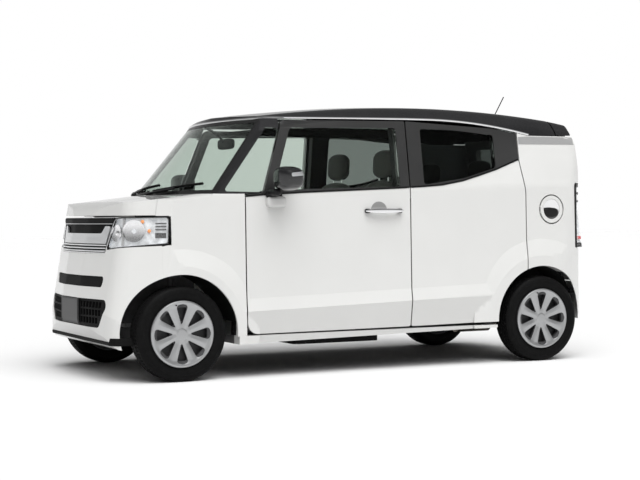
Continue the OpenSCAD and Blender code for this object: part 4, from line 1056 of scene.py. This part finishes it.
def make_screen():
    dress("windscreen", screen_paint())
    tree = surface("windscreen")
    roof = surface("roof")
    line = [cast(roof, from_front, y, 1.553) for y in np.linspace(-0.60, 0.60, 50)]
    sweep("roof_front_strip", line, bar_section(0.005, 0.012), chrome, "body", UP_FRONT)
    pivot = [(-0.02, 0.016), (0.016, 0.016), (0.022, 0.011), (0.024, 0)]
    for k, (y0, y1) in enumerate(WIPERS):
        arm = [cast(tree, from_front, y0 + (y1 - y0) * t, WIPER_Z + WIPER_RISE * t, 0.020)
               for t in np.linspace(0, 0.6, 14)]
        sweep(f"wiper_arm_{k}", arm, bar_section(0.012, 0.014), satin_black, "body", SCREEN_OUT)
        blade = [cast(tree, from_front, y0 + (y1 - y0) * t, BLADE_Z + BLADE_RISE * t, 0.006)
                 for t in np.linspace(0.1, 1, 30)]
        sweep(f"wiper_blade_{k}", blade, bar_section(0.014, 0.010), seal, "body", SCREEN_OUT)
        base = cast(tree, from_front, y0, WIPER_Z, 0.004)
        revolve(f"wiper_pivot_{k}", pivot, satin_black, "body", base, SCREEN_OUT, 24)
    blob("room_mirror", plastic, "body", (0.66, 0, 1.42), (0.020, 0.115, 0.034), 4.0)
    stalk = [(0.675, 0, 1.43), (0.70, 0, 1.46), (0.755, 0, 1.50), (0.800, 0, 1.52)]
    rod = [(0.008 * math.cos(a), 0.008 * math.sin(a)) for a in np.linspace(0, 5.5, 8)]
    sweep("room_mirror_stalk", stalk, rod, plastic, "body", UP_FRONT)


# Seats: side views in millimetres, each row along, up and radius; places and widths in metres
CUSHION = [(-160, 350, 30), (385, 380, 50), (375, 530, 50), (-95, 500, 40), (-120, 520, 0)]
BACK = [(-65, 510, 40), (-243, 1190, 50), (-345, 1178, 45), (-190, 425, 40)]
HEADREST = [(-262, 1205, 34), (-272, 1385, 36), (-345, 1378, 32), (-335, 1195, 34)]
REAR_CUSHION = [(382, 432, 40), (716, 452, 50), (706, 595, 50), (382, 582, 30)]
REAR_BACK = [(416, 575, 40), (287, 1175, 48), (186, 1158, 44), (304, 565, 30)]
REAR_HEADREST = [(262, 1185, 28), (246, 1325, 30), (186, 1316, 28), (198, 1178, 28)]
SEAT_X, SEAT_Y = -0.015, 0.325
REAR_SEAT_X = -1.27
UP = (0, 0, 1)


def post_section(low, high, half):
    """A rectangle, from a low to a high side."""
    return [(low, -half), (high, -half), (high, half), (low, half)]


def make_seats():
    for side in (LEFT, RIGHT):
        tag = SIDE_NAME[side]
        y = side * SEAT_Y
        c = (SEAT_X, y, 0)
        cushion = pillow(tag + "_seat_cushion", CUSHION, 0.25, "body", c)
        if side == LEFT:
            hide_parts("front_seats")
        pillow(tag + "_seat_back", BACK, 0.245, "body", c, crown=0.12)
        pillow(tag + "_headrest", HEADREST, 0.130, "body", c, power=3.2, crown=0.1)
        for k, dy in enumerate((-0.06, 0.06)):
            post = [(-0.05, 0.006), (0.06, 0.006)]
            revolve(f"{tag}_headrest_post_{k}", post, chrome, "body", (-0.312, y + dy, 1.19), UP, 12)
        for k, dy in enumerate((-0.17, 0.17)):
            rail = [(-0.08, y + dy, 0.30), (0.31, y + dy, 0.31)]
            sweep(f"{tag}_seat_rail_{k}", rail, post_section(-0.045, 0.09, 0.02), steel, "body", UP)
    c = (REAR_SEAT_X, 0, 0)
    cushion = pillow("rear_cushion", REAR_CUSHION, 0.60, "body", c, power=8)
    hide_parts("rear_seat")
    pillow("rear_back", REAR_BACK, 0.59, "body", c, power=8)
    for side in (LEFT, RIGHT):
        tag = SIDE_NAME[side]
        pillow(tag + "_rear_headrest", REAR_HEADREST, 0.118, "body", (REAR_SEAT_X, side * 0.32, 0), power=3.2)
        foot = [(-0.87, side * 0.42, 0.34), (-0.66, side * 0.42, 0.34)]
        sweep(tag + "_rear_seat_leg", foot, post_section(-0.085, 0.11, 0.03), steel, "body", UP)


for s in (LEFT, RIGHT):
    make_mirror(s)
    make_handle(s)
    make_tail_lamp(s)
make_under_box()
make_fuel_lid()
make_screen()
make_seats()


# Camera of the photograph: focal length and width in pixels, place in metres, yaw, pitch and roll in degrees
PHOTO_F = 1464.06
PHOTO_W = 640
PHOTO_PLACE = (4.3345, 8.646, 0.953)
PHOTO_TURN = (-116.669, -0.910, -0.36)
SENSOR = 36


def make_camera():
    yaw, pitch, roll = (math.radians(a) for a in PHOTO_TURN)
    cam = bpy.data.objects.new("camera", bpy.data.cameras.new("camera"))
    bpy.context.scene.collection.objects.link(cam)
    cam.data.sensor_width = SENSOR
    cam.data.lens = PHOTO_F / PHOTO_W * SENSOR
    look_at = Vector((math.cos(yaw) * math.cos(pitch), math.sin(yaw) * math.cos(pitch), math.sin(pitch)))
    turn = look_at.to_track_quat("-Z", "Y").to_matrix() @ Matrix.Rotation(roll, 3, "Z")
    cam.matrix_world = Matrix.Translation(PHOTO_PLACE) @ turn.to_4x4()
    bpy.context.scene.camera = cam


# Floor, light and background. The light is a soft lobe of the sky; mirrors see a sky that dims upwards
KEY_WAY = Vector((0.06, 0.42, 0.90)).normalized()
KEY_TIGHT = 8.0
KEY_GAIN = 7.7
FILL_GAIN = 0.06
MIRROR_LOW, MIRROR_FALL, MIRROR_LEAST = 0.95, 2.0, 0.14
FLOOR_HALF = 60


def make_stage():
    scene = bpy.context.scene
    scene.view_settings.view_transform = "Standard"
    mesh = bpy.data.meshes.new("floor")
    h = FLOOR_HALF
    mesh.from_pydata([(-h, -h, 0), (h, -h, 0), (h, h, 0), (-h, h, 0)], [], [(0, 1, 2, 3)])
    floor = bpy.data.objects.new("floor", mesh)
    scene.collection.objects.link(floor)
    mesh.materials.append(finish("floor_white", (0.72, 0.72, 0.72), 0.8, specular=0.1, vary=0.004, grain=0.5))
    world = bpy.data.worlds.new("studio")
    scene.world = world
    world.use_nodes = True
    tree = world.node_tree
    back = tree.nodes["Background"]
    back.inputs["Color"].default_value = (1, 1, 1, 1)

    def both(kind, a, b):
        return math_node(tree, kind, a, b)
    x, y, z = place_of(tree, "Generated")
    toward = both("MULTIPLY", x, KEY_WAY[0])
    for part, share in ((y, KEY_WAY[1]), (z, KEY_WAY[2])):
        toward = both("ADD", toward, both("MULTIPLY", part, share))
    lobe = both("POWER", both("MAXIMUM", toward, 0.0), KEY_TIGHT)
    sky = both("ADD", both("MULTIPLY", lobe, KEY_GAIN), FILL_GAIN)
    path = tree.nodes.new("ShaderNodeLightPath")
    fall = both("MULTIPLY", both("MAXIMUM", z, 0.0), MIRROR_FALL)
    mirrored = both("MAXIMUM", both("SUBTRACT", MIRROR_LOW, fall), MIRROR_LEAST)
    gloss = path.outputs["Is Glossy Ray"]
    sky = both("ADD", both("MULTIPLY", mirrored, gloss), both("MULTIPLY", sky, both("SUBTRACT", 1.0, gloss)))
    seen = both("MAXIMUM", path.outputs["Is Camera Ray"], path.outputs["Is Transmission Ray"])
    dim = both("MULTIPLY", sky, both("SUBTRACT", 1.0, seen))
    tree.links.new(both("ADD", dim, seen), back.inputs["Strength"])


make_camera()
make_stage()
